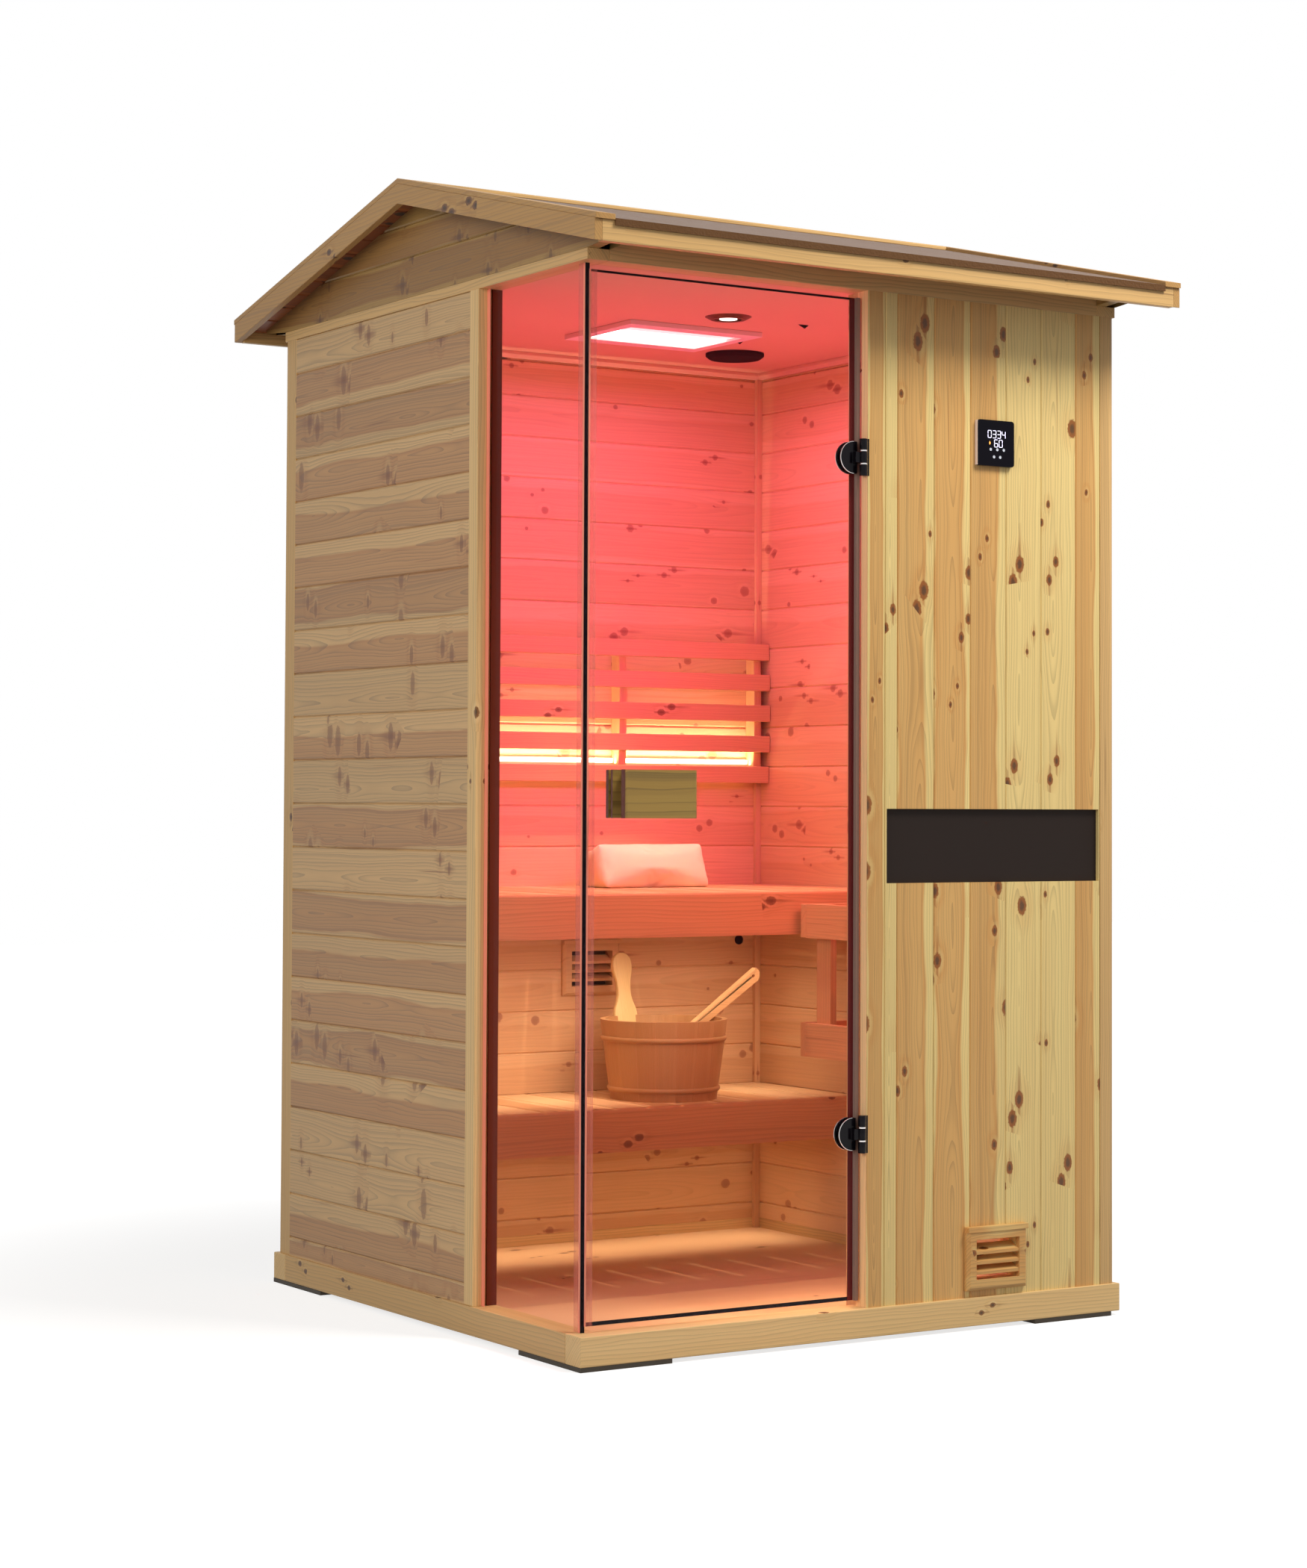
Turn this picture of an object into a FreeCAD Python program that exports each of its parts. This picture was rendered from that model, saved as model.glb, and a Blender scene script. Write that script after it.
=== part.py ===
import FreeCAD, Part
import math
import os
import re
import Sketcher

# Outdoor sauna cabin: square wooden cabin with a gable roof, a fixed corner pane and a glass door.
# Origin at the bottom centre, +X to the right along the front, +Y to the back, +Z up, millimetres.

doc = FreeCAD.newDocument("sauna_cabin")
sheet = doc.addObject("Spreadsheet::Sheet", "Sizes")

# Driving dimensions: alias, value in millimetres, meaning
SIZES = [
    ("base_side", 1200, "outer side of the square base frame"),
    ("base_rise", 52, "height of the base frame boards"),
    ("pad_rise", 8, "height of a foot pad"),
    ("pad_wide", 186, "foot pad along the front"),
    ("pad_deep", 211, "foot pad along the side"),
    ("pad_inset", 21, "right foot pads set in from the base frame"),
    ("floor_thick", 16, "thickness of the floor panel"),
    ("floor_drop", 22, "floor surface below the top of the base frame"),
    ("wall_setback", 6, "wall face behind the base frame face"),
    ("wall_thick", 46, "wall with outer boards, frame and inner boards"),
    ("wall_rise", 1848, "height of the walls and of the door opening"),
    ("post_wide", 37, "corner post along the front"),
    ("post_deep", 53, "corner post along the side"),
    ("post_round", 14, "rounding of the outer arris of a corner post"),
    ("door_side_x", 6, "right side of the door opening"),
    ("window_back_y", 215, "back end of the fixed side pane, in front of the middle"),
    ("window_post_wide", 32, "post behind the fixed side pane"),
    ("window_post_proud", 2, "window post in front of the wall face"),
    ("glass_setback", 18, "glass face behind the wall face"),
    ("glass_thick", 8, "thickness of the toughened glass"),
    ("glass_bite", 8, "side pane let into its post"),
    ("glass_play", 0.3, "play of the side pane in its groove"),
    ("door_gap", 5, "running clearance round the door"),
    ("door_seal", 7, "width of the door's edge seals"),
    ("door_lap", 20, "door's free edge short of the wall face"),
    ("corner_seal_wide", 10, "width of the seal behind the door's free edge"),
    ("corner_seal_deep", 5, "depth of the seal behind the door's free edge"),
    ("jamb_wide", 44, "width of the trim inside the door's jamb"),
    ("jamb_thick", 16, "thickness of the trim inside the door's jamb"),
    ("frieze_rise", 20, "height of the side frieze boards"),
    ("ceiling_lift", 17, "ceiling face above the door opening"),
    ("ceiling_thick", 12, "thickness of the ceiling panel"),
    ("rake_overhang", 52, "roof past the base frame at the gables"),
    ("eaves_overhang", 114, "roof past the base frame at the eaves"),
    ("eave_lift", 47, "top of the eaves boards above the door opening"),
    ("roof_rise", 175, "ridge above the eaves"),
    ("rake_thick", 15, "thickness of the rake and eaves boards"),
    ("rake_rise", 38, "plumb height of the rake and eaves boards"),
    ("deck_plumb", 20, "plumb thickness of the roof boards"),
    ("sheet_plumb", 3, "plumb thickness of the roof covering"),
    ("sheet_lip", 4, "roof covering past the eaves boards"),
    ("sheet_fold", 9, "fold of the roof covering down over the eaves boards"),
    ("trim_wide", 39, "width of the rake's top trim"),
    ("trim_plumb", 10, "plumb thickness of the rake's top trim"),
    ("cap_half", 42, "half width of the ridge cap"),
    ("gable_tip_lift", 8, "rise of the gable board's underside at its ends"),
    ("gable_short", 30, "gable board short of the eaves"),
    ("bench_level", 794, "top of the upper bench above the ground"),
    ("bench_deep", 560, "depth of the upper bench"),
    ("step_level", 357, "top of the lower bench above the ground"),
    ("step_deep", 379, "depth of the lower bench"),
    ("bench_slat_count", 19, "number of slats of the upper bench"),
    ("step_slat_count", 13, "number of slats of the lower bench"),
    ("slat_gap", 8.5, "gap between bench slats"),
    ("slat_thick", 18, "thickness of bench slats and aprons"),
    ("apron_rise", 86, "height of a bench apron"),
    ("apron_round", 5, "rounding of an apron's top arris"),
    ("bench_batten", 40, "side of the battens under the benches"),
    ("bench_side_gap", 2, "bench short of the side walls"),
    ("back_board_rise", 36, "height of a backrest board"),
    ("back_board_thick", 14, "thickness of a backrest board"),
    ("back_pitch", 67, "spacing of the backrest boards"),
    ("back_low", 1017, "underside of the lowest backrest board"),
    ("rib_thick", 18, "thickness of a backrest rib"),
    ("rib_deep", 28, "depth of a backrest rib at its ends"),
    ("rib_bow", 6, "bow of a backrest rib"),
    ("rib_side_gap", 17, "outer ribs short of the side walls"),
    ("rib_inner_x", 173, "inner ribs from the middle"),
    ("strip_rise", 10, "height of the light strip"),
    ("strip_thick", 6, "thickness of the light strip"),
    ("strip_lift", 40, "light strip above the lowest backrest board's underside"),
    ("guard_side_x", 255, "left face of the heater guard"),
    ("guard_bench_gap", 38, "back end of the guard's side rails in front of the upper bench"),
    ("guard_rail_rise", 68, "height of a guard rail"),
    ("guard_rail_thick", 18, "thickness of a guard rail"),
    ("guard_low", 465, "underside of the lower guard rail"),
    ("guard_high", 702, "underside of the upper guard rail"),
    ("guard_post_wide", 48, "width of a guard post"),
    ("guard_post_thick", 14, "thickness of a guard post"),
    ("guard_post_gap", 12, "guard post short of the end of the side rails"),
    ("slot_margin", 44, "dark inset panel right of the door opening"),
    ("slot_gap", 4, "dark inset panel short of the corner post"),
    ("slot_low", 826, "underside of the dark inset panel"),
    ("slot_rise", 136, "height of the dark inset panel"),
    ("slot_cut", 18, "depth of the cut for the inset panel"),
    ("slot_panel", 10, "thickness of the inset panel"),
    ("vent_x", 300.5, "middle of the front vent opening"),
    ("vent_level", 129.5, "middle of the front vent opening above the ground"),
    ("vent_open_wide", 101, "width of a vent opening"),
    ("vent_open_rise", 74, "height of a vent opening"),
    ("vent_frame_wide", 20, "width of the vent's frame bars"),
    ("vent_frame_thick", 12, "thickness of the vent's frame"),
    ("vent_bevel", 6, "bevel of the vent's frame"),
    ("vent_lip", 4, "height of the lip over a vent"),
    ("vent_lip_proud", 2, "lip in front of the vent's frame"),
    ("louvre_count", 3, "number of louvres of a vent"),
    ("louvre_thick", 6, "thickness of a louvre"),
    ("louvre_deep", 24, "depth of a louvre"),
    ("louvre_fall", 12, "fall of a louvre towards the outside"),
    ("louvre_sink", 2, "louvre behind the front of the vent's frame"),
    ("back_vent_x", 112, "middle of the back vent opening"),
    ("back_vent_level", 618, "middle of the back vent opening above the ground"),
    ("cable_inset", 52, "middle of the cable hole from the right wall"),
    ("cable_level", 671, "middle of the cable hole above the ground"),
    ("cable_round", 7.5, "radius of the cable hole"),
    ("cable_deep", 20, "depth of the cable hole"),
    ("control_x", 297, "middle of the control panel"),
    ("control_level", 1646, "middle of the control panel above the ground"),
    ("control_side", 86, "side of the control panel"),
    ("control_thick", 8, "thickness of the control panel"),
    ("control_round", 6, "corner radius of the control panel"),
    ("hinge_high", 1602, "middle of the upper hinge above the ground"),
    ("hinge_low", 373, "middle of the lower hinge above the ground"),
    ("hinge_plate", 59, "height of a hinge plate"),
    ("hinge_plate_wide", 37.5, "width of a hinge plate"),
    ("hinge_plate_thick", 4, "thickness of a hinge plate"),
    ("hinge_arm", 10, "arm of the hinge over its plate"),
    ("knuckle_round", 7, "radius of a hinge knuckle"),
    ("knuckle_rise", 20, "height of a hinge knuckle"),
    ("washer_rise", 4, "gap between hinge knuckles"),
    ("web_thick", 6, "thickness of the web between a knuckle and its leaf"),
    ("pin_round", 3, "radius of the hinge pin"),
    ("pin_play", 0.05, "radial play of the hinge pin"),
    ("axis_inset_x", 7.5, "hinge axis from the side of the door opening"),
    ("axis_inset_y", 4, "hinge axis behind the wall face"),
    ("plate_gap", 2, "hinge plate short of the edge of the glass"),
    ("leaf_thick", 3, "thickness of the hinge's wall leaf"),
    ("leaf_deep", 30, "depth of the hinge's wall leaf"),
    ("handle_inset", 44, "left end of the door handle from the door's free edge"),
    ("handle_wide", 149, "width of the door handle"),
    ("handle_low", 944, "underside of the door handle"),
    ("handle_rise", 84, "height of the door handle"),
    ("handle_deep", 47, "depth of the outer door handle"),
    ("handle_lip", 13, "front lip of the door handle"),
    ("handle_foot", 6, "foot of the door handle against the glass"),
    ("handle_groove", 22, "depth of the finger groove"),
    ("handle_inner_deep", 12, "depth of the inner door handle"),
    ("handle_round", 5, "rounding of the door handle"),
    ("lamp_side_gap", 60, "ceiling lamp from the ceiling speaker"),
    ("lamp_wide", 315, "width of the ceiling lamp"),
    ("lamp_front_y", 30, "front of the ceiling lamp behind the middle"),
    ("lamp_deep", 255, "depth of the ceiling lamp"),
    ("lamp_border", 24, "width of the ceiling lamp's frame at its sides"),
    ("lamp_end_border", 38, "width of the ceiling lamp's frame at its front and back"),
    ("lamp_drop", 10, "drop of the ceiling lamp's frame"),
    ("lens_thick", 5, "thickness of the lamp's lens"),
    ("spot_x", 30, "middle of the downlight"),
    ("spot_y", 99, "middle of the downlight, in front of the middle"),
    ("spot_round", 46, "radius of the downlight"),
    ("spot_rim", 12, "width of the downlight's sloping rim"),
    ("spot_drop", 6, "drop of the downlight"),
    ("spot_lens", 26, "radius of the downlight's lens"),
    ("speaker_side_gap", 164, "ceiling speaker from the right wall"),
    ("speaker_back_gap", 174, "ceiling speaker from the back wall"),
    ("speaker_round", 62, "radius of the ceiling speaker"),
    ("speaker_rim", 8, "width of the speaker's sloping rim"),
    ("speaker_drop", 12, "drop of the ceiling speaker"),
    ("corner_batten", 14, "width of the inner corner battens"),
    ("corner_batten_thick", 10, "thickness of the inner corner battens"),
    ("cove", 14, "side of the ceiling cove"),
    ("bucket_x", 162, "middle of the bucket"),
    ("bucket_back_gap", 84, "bucket's rim from the back wall"),
    ("bucket_foot", 111, "radius of the bucket at its foot"),
    ("bucket_rim", 133, "radius of the bucket at its rim"),
    ("bucket_rise", 165, "height of the bucket"),
    ("bucket_wall", 11, "thickness of the bucket's staves"),
    ("bucket_bottom", 14, "thickness of the bucket's bottom"),
    ("stave_count", 18, "number of staves of the bucket"),
    ("hoop_root", 0.2, "edge of a hoop in front of the staves"),
    ("hoop_thick", 5, "middle of a hoop in front of the staves"),
    ("hoop_rise", 16, "height of a hoop"),
    ("hoop_bevel", 5, "bevel of a hoop"),
    ("hoop_high", 118, "upper hoop above the bucket's foot"),
    ("hoop_low", 14, "lower hoop above the bucket's foot"),
    ("grip_shift", 18.5, "handle stave left of the middle of the bucket"),
    ("grip_foot", 62, "width of the handle stave at the rim"),
    ("grip_neck", 35, "width of the handle stave at its neck"),
    ("grip_knob", 52, "width of the handle stave at its knob"),
    ("grip_sink", 30, "handle stave below the rim"),
    ("grip_waist", 42, "start of the neck above the rim"),
    ("grip_chest", 62, "end of the neck above the rim"),
    ("grip_cheek", 92, "start of the knob above the rim"),
    ("grip_brow", 108, "end of the knob's straight side above the rim"),
    ("grip_rise", 132, "top of the handle stave above the rim"),
    ("grip_crown", 22, "width of the flat top of the handle stave"),
    ("ladle_round", 38, "radius of the ladle's cup"),
    ("ladle_flare", 6, "ladle's cup narrower at its foot"),
    ("ladle_wall", 4, "thickness of the ladle's cup"),
    ("ladle_rim_gap", 0.3, "ladle above the bucket's rim and bottom"),
    ("ladle_back_x", 60, "ladle's cup left of the middle of the bucket"),
    ("ladle_run", 254, "level reach of the ladle's handle past its cup"),
    ("ladle_slope", 0.66, "rise of the ladle's handle over its run"),
    ("ladle_thin", 19, "plumb height of the ladle's handle at the cup"),
    ("ladle_thick", 30, "plumb height of the ladle's handle at its end"),
    ("ladle_end_round", 17, "rounding of the end of the ladle's handle"),
    ("ladle_wide", 17, "width of the ladle's handle"),
    ("ladle_eye", 3.5, "radius of the hole in the ladle's handle"),
    ("ladle_eye_inset", 8, "hole short of the end of the ladle's handle"),
    ("pillow_x", 24, "left end of the pillow"),
    ("pillow_wide", 266, "width of the pillow"),
    ("pillow_back_gap", 96, "pillow from the back wall"),
    ("pillow_deep", 112, "depth of the pillow"),
    ("pillow_rise", 98, "height of the pillow's ridge"),
    ("pillow_lip", 8, "height of the pillow's front edge"),
    ("pillow_lean", 36, "ridge of the pillow behind its front edge"),
    ("pillow_back_rise", 66, "height of the pillow's back"),
]

# Places and lengths worked out from the driving dimensions
PLACES = {
    "base_half": "base_side / 2",
    "base_top": "pad_rise + base_rise",
    "wall_out": "base_half - wall_setback",
    "wall_in": "wall_out - wall_thick",
    "base_thick": "wall_setback + wall_thick",
    "door_head": "base_top + wall_rise",
    "frieze_top": "door_head + frieze_rise",
    "floor_top": "base_top - floor_drop",
    "glass_out": "wall_out - glass_setback",
    "glass_in": "glass_out - glass_thick",
    "post_in_x": "wall_out - post_wide",
    "post_in_y": "wall_out - post_deep",
    "window_post_back": "window_post_wide - window_back_y",
    "ceiling_face": "door_head + ceiling_lift",
    "roof_half_x": "base_half + rake_overhang",
    "roof_half_y": "base_half + eaves_overhang",
    "roof_slope": "roof_rise / (base_half + eaves_overhang)",
    "eave_level": "door_head + eave_lift",
    "deck_half_x": "roof_half_x - rake_thick",
    "deck_half_y": "roof_half_y - rake_thick",
    "sheet_half_x": "roof_half_x - trim_wide",
    "sheet_reach": "roof_half_y + sheet_lip",
    "gable_reach": "roof_half_y - gable_short",
    "axis_x": "door_side_x - axis_inset_x",
    "axis_y": "axis_inset_y - wall_out",
    "plate_right": "door_side_x - door_gap - door_seal - plate_gap",
    "leaf_half": "1.5 * knuckle_rise + washer_rise",
    "seal_right": "door_side_x - door_gap",
    "door_right": "seal_right - door_seal",
    "door_left": "door_lap - wall_out",
    "door_wide": "door_right - door_left",
    "door_low": "base_top + door_gap + door_seal",
    "door_high": "door_head - door_gap - door_seal",
    "side_pane_front": "corner_seal_deep + door_gap - glass_in",
    "bench_front": "wall_in - bench_deep",
    "step_front": "wall_in - step_deep",
    "bench_half": "wall_in - bench_side_gap",
    "bench_slat_wide": "(2 * bench_half - (bench_slat_count - 1) * slat_gap) / bench_slat_count",
    "step_slat_wide": "(2 * bench_half - (step_slat_count - 1) * slat_gap) / step_slat_count",
    "slot_left": "door_side_x + slot_margin",
    "slot_wide": "post_in_x - slot_gap - slot_left",
    "back_half": "2 * back_pitch + back_board_rise / 2",
    "back_middle": "back_low + back_half",
    "rib_outer_x": "wall_in - rib_side_gap - rib_thick / 2",
    "rib_end_y": "wall_in - rib_deep",
    "rib_radius": "(rib_bow * rib_bow + back_half * back_half) / (2 * rib_bow)",
    "strip_level": "back_low + strip_lift",
    "vent_frame_half": "vent_open_wide / 2 + vent_frame_wide",
    "guard_back_y": "guard_bench_gap - bench_front",
    "cable_x": "wall_in - cable_inset",
    "handle_left": "door_left + handle_inset",
    "speaker_x": "wall_in - speaker_side_gap - speaker_round",
    "speaker_y": "wall_in - speaker_back_gap - speaker_round",
    "lamp_left": "speaker_x - speaker_round - lamp_side_gap - lamp_wide",
    "bucket_y": "wall_in - bucket_back_gap - bucket_rim",
    "pillow_front_y": "wall_in - pillow_back_gap - pillow_deep",
    "bucket_top": "step_level + bucket_rise",
    "stave_slope": "(bucket_rim - bucket_foot) / bucket_rise",
    "grip_reach": "bucket_rim - hoop_thick / 2",
    "grip_off": "sqrt(grip_reach * grip_reach - grip_shift * grip_shift)",
    "ladle_reach": "ladle_back_x + bucket_rim - bucket_wall",
    "ladle_handle_x": "ladle_round - ladle_wall",
    "ladle_handle_low": "bucket_top + ladle_rim_gap - ladle_slope * (ladle_reach - ladle_handle_x)",
    "ladle_top": "ladle_handle_low + ladle_thin",
    "ladle_foot": "step_level + bucket_bottom + ladle_rim_gap",
}

NAMES = {alias for alias, value, meaning in SIZES}
for row, (alias, value, meaning) in enumerate(SIZES, 1):
    sheet.set(f"A{row}", alias)
    sheet.set(f"B{row}", str(value))
    sheet.set(f"C{row}", meaning)
    sheet.setAlias(f"B{row}", alias)
probe = doc.addObject("App::FeaturePython", "Probe")
probe.addProperty("App::PropertyFloat", "Reading")
doc.recompute()


def expand(text):
    """Write every name of an expression as cells of the sheet."""

    def swap(match):
        word = match.group(0)
        if word in PLACES:
            return "(" + expand(PLACES[word]) + ")"
        return "Sizes." + word if word in NAMES else word

    return re.sub(r"[a-z][a-z0-9_]*", swap, str(text))


def bind(thing, prop, text):
    thing.setExpression(prop, expand(text))


def reading(text):
    """Present value of an expression."""
    probe.setExpression("Reading", expand(text))
    probe.recompute()
    return probe.Reading


# Making solids

TURNS = {
    "z": FreeCAD.Rotation(),
    "y": FreeCAD.Rotation(FreeCAD.Vector(1, 0, 0), -90),
}
MIDDLE = ("0", "0", "0")
nodes = []


def node(thing, label):
    """Name a finished sub-part: its label names its file."""
    thing.Label = label
    nodes.append(thing)


def place(thing, low):
    for letter, text in zip("xyz", low):
        bind(thing, f"Placement.Base.{letter}", text)


def box(name, low, size):
    """Box with its lowest corner at low."""
    made = doc.addObject("Part::Box", name)
    for prop, text in zip(("Length", "Width", "Height"), size):
        bind(made, prop, text)
    place(made, low)
    return made


def rod(name, radius, length, low, along="z"):
    """Cylinder that starts at low and runs along one axis."""
    made = doc.addObject("Part::Cylinder", name)
    made.Placement = FreeCAD.Placement(FreeCAD.Vector(), TURNS[along])
    bind(made, "Radius", radius)
    bind(made, "Height", length)
    place(made, low)
    return made


def fuse(name, things):
    made = doc.addObject("Part::MultiFuse", name)
    made.Shapes = things
    return made


def cut(name, base, tools):
    """Base less its tools."""
    made = doc.addObject("Part::Cut", name)
    made.Base = base
    made.Tool = tools[0] if len(tools) == 1 else fuse(name + "_tools", tools)
    return made


def several(name, things):
    """Solids that don't touch, kept in one sub-part."""
    made = doc.addObject("Part::Compound", name)
    made.Links = things
    return made


def eased(name, base, kind, size, wanted):
    """Round or bevel the edges that a test of an edge's middle picks."""
    doc.recompute()
    amount = reading(size)
    made = doc.addObject(kind, name)
    made.Base = base
    made.Edges = [(index, amount, amount) for index, edge in enumerate(base.Shape.Edges, 1)
                  if wanted(edge, edge.CenterOfMass)]
    return made


def arc(start, end, radius, way):
    """Arc from start to end that turns left for way 1 and right for way -1."""
    chord = end - start
    left = FreeCAD.Vector(-chord.y, chord.x, 0).normalize()
    rise = math.sqrt(radius ** 2 - (chord.Length / 2) ** 2)
    centre = (start + end) / 2 + left * (way * rise)
    ends = (start, end) if way > 0 else (end, start)
    angles = [math.atan2(spot.y - centre.y, spot.x - centre.x) for spot in ends]
    return Part.ArcOfCircle(Part.Circle(centre, FreeCAD.Vector(0, 0, 1), radius), *angles)


def outline(body, role, corners, name):
    """Closed sketch bound to the sheet; a corner with a radius and a way starts an arc."""
    sketch = body.newObject("Sketcher::SketchObject", name)
    plane = [feature for feature in body.Origin.OriginFeatures if feature.Role == role][0]
    sketch.AttachmentSupport = (plane, [""])
    sketch.MapMode = "FlatFace"
    count = len(corners)
    spots = [FreeCAD.Vector(reading(corner[0]), reading(corner[1]), 0) for corner in corners]
    first = []
    last = []
    for index, corner in enumerate(corners):
        ahead = spots[(index + 1) % count]
        if len(corner) == 2:
            sketch.addGeometry(Part.LineSegment(spots[index], ahead), False)
        else:
            sketch.addGeometry(arc(spots[index], ahead, reading(corner[2]), corner[3]), False)
        forward = len(corner) == 2 or corner[3] > 0
        first.append(1 if forward else 2)
        last.append(2 if forward else 1)
    for index in range(count):
        ahead = (index + 1) % count
        sketch.addConstraint(Sketcher.Constraint("Coincident", index, last[index], ahead, first[ahead]))
    for index, corner in enumerate(corners):
        for text, kind, value in zip(corner, ("DistanceX", "DistanceY"), spots[index]):
            row = sketch.addConstraint(Sketcher.Constraint(kind, -1, 1, index, first[index], value))
            bind(sketch, f"Constraints[{row}]", text)
        if len(corner) > 2:
            row = sketch.addConstraint(Sketcher.Constraint("Radius", index, reading(corner[2])))
            bind(sketch, f"Constraints[{row}]", corner[2])
    return sketch


def pad(name, role, corners, length, low=MIDDLE):
    """Body padded from a bound outline and then moved to low."""
    body = doc.addObject("PartDesign::Body", name)
    made = body.newObject("PartDesign::Pad", name + "_pad")
    made.Profile = outline(body, role, corners, name + "_outline")
    bind(made, "Length", length)
    place(body, low)
    return body


def turned(name, corners, low):
    """Body revolved from a bound half section round an upright axis."""
    body = doc.addObject("PartDesign::Body", name)
    section = outline(body, "XZ_Plane", corners, name + "_section")
    made = body.newObject("PartDesign::Revolution", name + "_turn")
    made.Profile = section
    made.ReferenceAxis = (section, ["V_Axis"])
    made.Angle = 360
    place(body, low)
    return body


def coopered(name, centre, rings):
    """Many-sided solid lofted through level rings, each a radius and a height."""
    sections = []
    for index, (radius, level) in enumerate(rings):
        ring = doc.addObject("Part::RegularPolygon", f"{name}_ring_{index}")
        bind(ring, "Polygon", "stave_count")
        bind(ring, "Circumradius", radius)
        place(ring, (centre[0], centre[1], level))
        sections.append(ring)
    made = doc.addObject("Part::Loft", name)
    made.Sections = sections
    made.Solid = True
    made.Ruled = True
    return made


# Heights over the roof slopes


def roof_at(reach, lift="0"):
    """Height over the roof boards at a distance from the ridge line."""
    return f"eave_level + {lift} + roof_slope * (roof_half_y - ({reach}))"


def slope_band(side, low, high, reach):
    """Corners of a band along one roof slope, side -1 for the front and 1 for the back."""
    return [
        (f"{side} * ({reach})", roof_at(reach, low)),
        ("0", roof_at("0", low)),
        ("0", roof_at("0", high)),
        (f"{side} * ({reach})", roof_at(reach, high)),
    ]


def chevron(low, high, reach):
    """Corners of a band over both roof slopes."""
    return [
        (f"-({reach})", roof_at(reach, low)),
        ("0", roof_at("0", low)),
        (reach, roof_at(reach, low)),
        (reach, roof_at(reach, high)),
        ("0", roof_at("0", high)),
        (f"-({reach})", roof_at(reach, high)),
    ]


def bow(run, rise):
    """Radius of an arc that leaves upright and gains run over rise."""
    return f"(({run}) * ({run}) + ({rise}) * ({rise})) / (2 * ({run}))"


# Foot pads, base frame and floor


def base():
    pads = []
    size = ("pad_wide", "pad_deep", "pad_rise")
    for across, x_low in (("left", "-base_half"), ("right", "base_half - pad_inset - pad_wide")):
        for along, y_low in (("front", "-base_half"), ("back", "base_half - pad_deep")):
            pads.append(box(f"pad_{along}_{across}", (x_low, y_low, "0"), size))
    node(several("pad_set", pads), "foot_pads")
    end_size = ("base_side", "base_thick", "base_rise")
    node(several("base_ends", [
        box("base_front", ("-base_half", "-base_half", "pad_rise"), end_size),
        box("base_back", ("-base_half", "wall_in", "pad_rise"), end_size),
    ]), "base_end_boards")
    side_size = ("base_thick", "2 * wall_in", "base_rise")
    node(several("base_sides", [
        box("base_left", ("-base_half", "-wall_in", "pad_rise"), side_size),
        box("base_right", ("wall_in", "-wall_in", "pad_rise"), side_size),
    ]), "base_side_boards")
    node(box("floor", ("-wall_in", "-wall_in", "floor_top - floor_thick"),
             ("2 * wall_in", "2 * wall_in", "floor_thick")), "floor_panel")


# Walls, posts and friezes


def vent_hole(name, x_middle, z_middle, y_low):
    return box(name, (f"{x_middle} - vent_open_wide / 2", y_low, f"{z_middle} - vent_open_rise / 2"),
               ("vent_open_wide", "wall_thick + 2", "vent_open_rise"))


def walls():
    node(box("wall_left", ("-wall_out", "window_post_back", "base_top"),
             ("wall_thick", "post_in_y - window_post_back", "wall_rise")), "left_wall")
    node(box("wall_right", ("wall_in", "-post_in_y", "base_top"),
             ("wall_thick", "2 * post_in_y", "wall_rise")), "right_wall")
    back = box("wall_back", ("-post_in_x", "wall_in", "base_top"),
               ("2 * post_in_x", "wall_thick", "wall_rise"))
    node(cut("wall_back_cut", back, [
        vent_hole("back_vent_hole", "back_vent_x", "back_vent_level", "wall_in - 1"),
        rod("cable_hole", "cable_round", "cable_deep + 1", ("cable_x", "wall_in - 1", "cable_level"), "y"),
    ]), "back_wall")
    front = box("wall_front", ("door_side_x", "-wall_out", "base_top"),
                ("post_in_x - door_side_x", "wall_thick", "wall_rise"))
    tools = [
        vent_hole("front_vent_hole", "vent_x", "vent_level", "-wall_out - 1"),
        box("slot_hole", ("slot_left", "-wall_out - 1", "slot_low"),
            ("slot_wide", "slot_cut + 1", "slot_rise")),
    ]
    for tag, level in (("upper", "hinge_high"), ("lower", "hinge_low")):
        tools.append(box(f"leaf_seat_{tag}", ("door_side_x - 1", "-wall_out - 1", f"{level} - leaf_half"),
                         ("leaf_thick + 1", "leaf_deep + 1", "2 * leaf_half")))
    node(cut("wall_front_cut", front, tools), "front_wall")
    node(box("slot_plate", ("slot_left", "slot_cut - slot_panel - wall_out", "slot_low"),
             ("slot_wide", "slot_panel", "slot_rise")), "inset_panel")


def corner_post(name, side_x, side_y):
    """Post with a rounded outer arris, in the corner that the two signs name."""
    corners = [
        (f"{side_x} * post_in_x", f"{side_y} * post_in_y"),
        (f"{side_x} * wall_out", f"{side_y} * post_in_y"),
        (f"{side_x} * wall_out", f"{side_y} * (wall_out - post_round)", "post_round", side_x * side_y),
        (f"{side_x} * (wall_out - post_round)", f"{side_y} * wall_out"),
        (f"{side_x} * post_in_x", f"{side_y} * wall_out"),
    ]
    return pad(name, "XY_Plane", corners, "wall_rise", ("0", "0", "base_top"))


def posts():
    node(several("corner_post_set", [
        corner_post("post_back_left", -1, 1),
        corner_post("post_back_right", 1, 1),
        corner_post("post_front_right", 1, -1),
    ]), "corner_posts")
    groove_out = "-glass_out - glass_play"
    groove_in = "-glass_in + glass_play"
    groove_end = "glass_bite + glass_play - window_back_y"
    node(pad("window_post_body", "XY_Plane", [
        ("-wall_out - window_post_proud", "-window_back_y"),
        (groove_out, "-window_back_y"),
        (groove_out, groove_end),
        (groove_in, groove_end),
        (groove_in, "-window_back_y"),
        ("-wall_in", "-window_back_y"),
        ("-wall_in", "window_post_back"),
        ("-wall_out - window_post_proud", "window_post_back"),
    ], "wall_rise", ("0", "0", "base_top")), "window_post")


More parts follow.
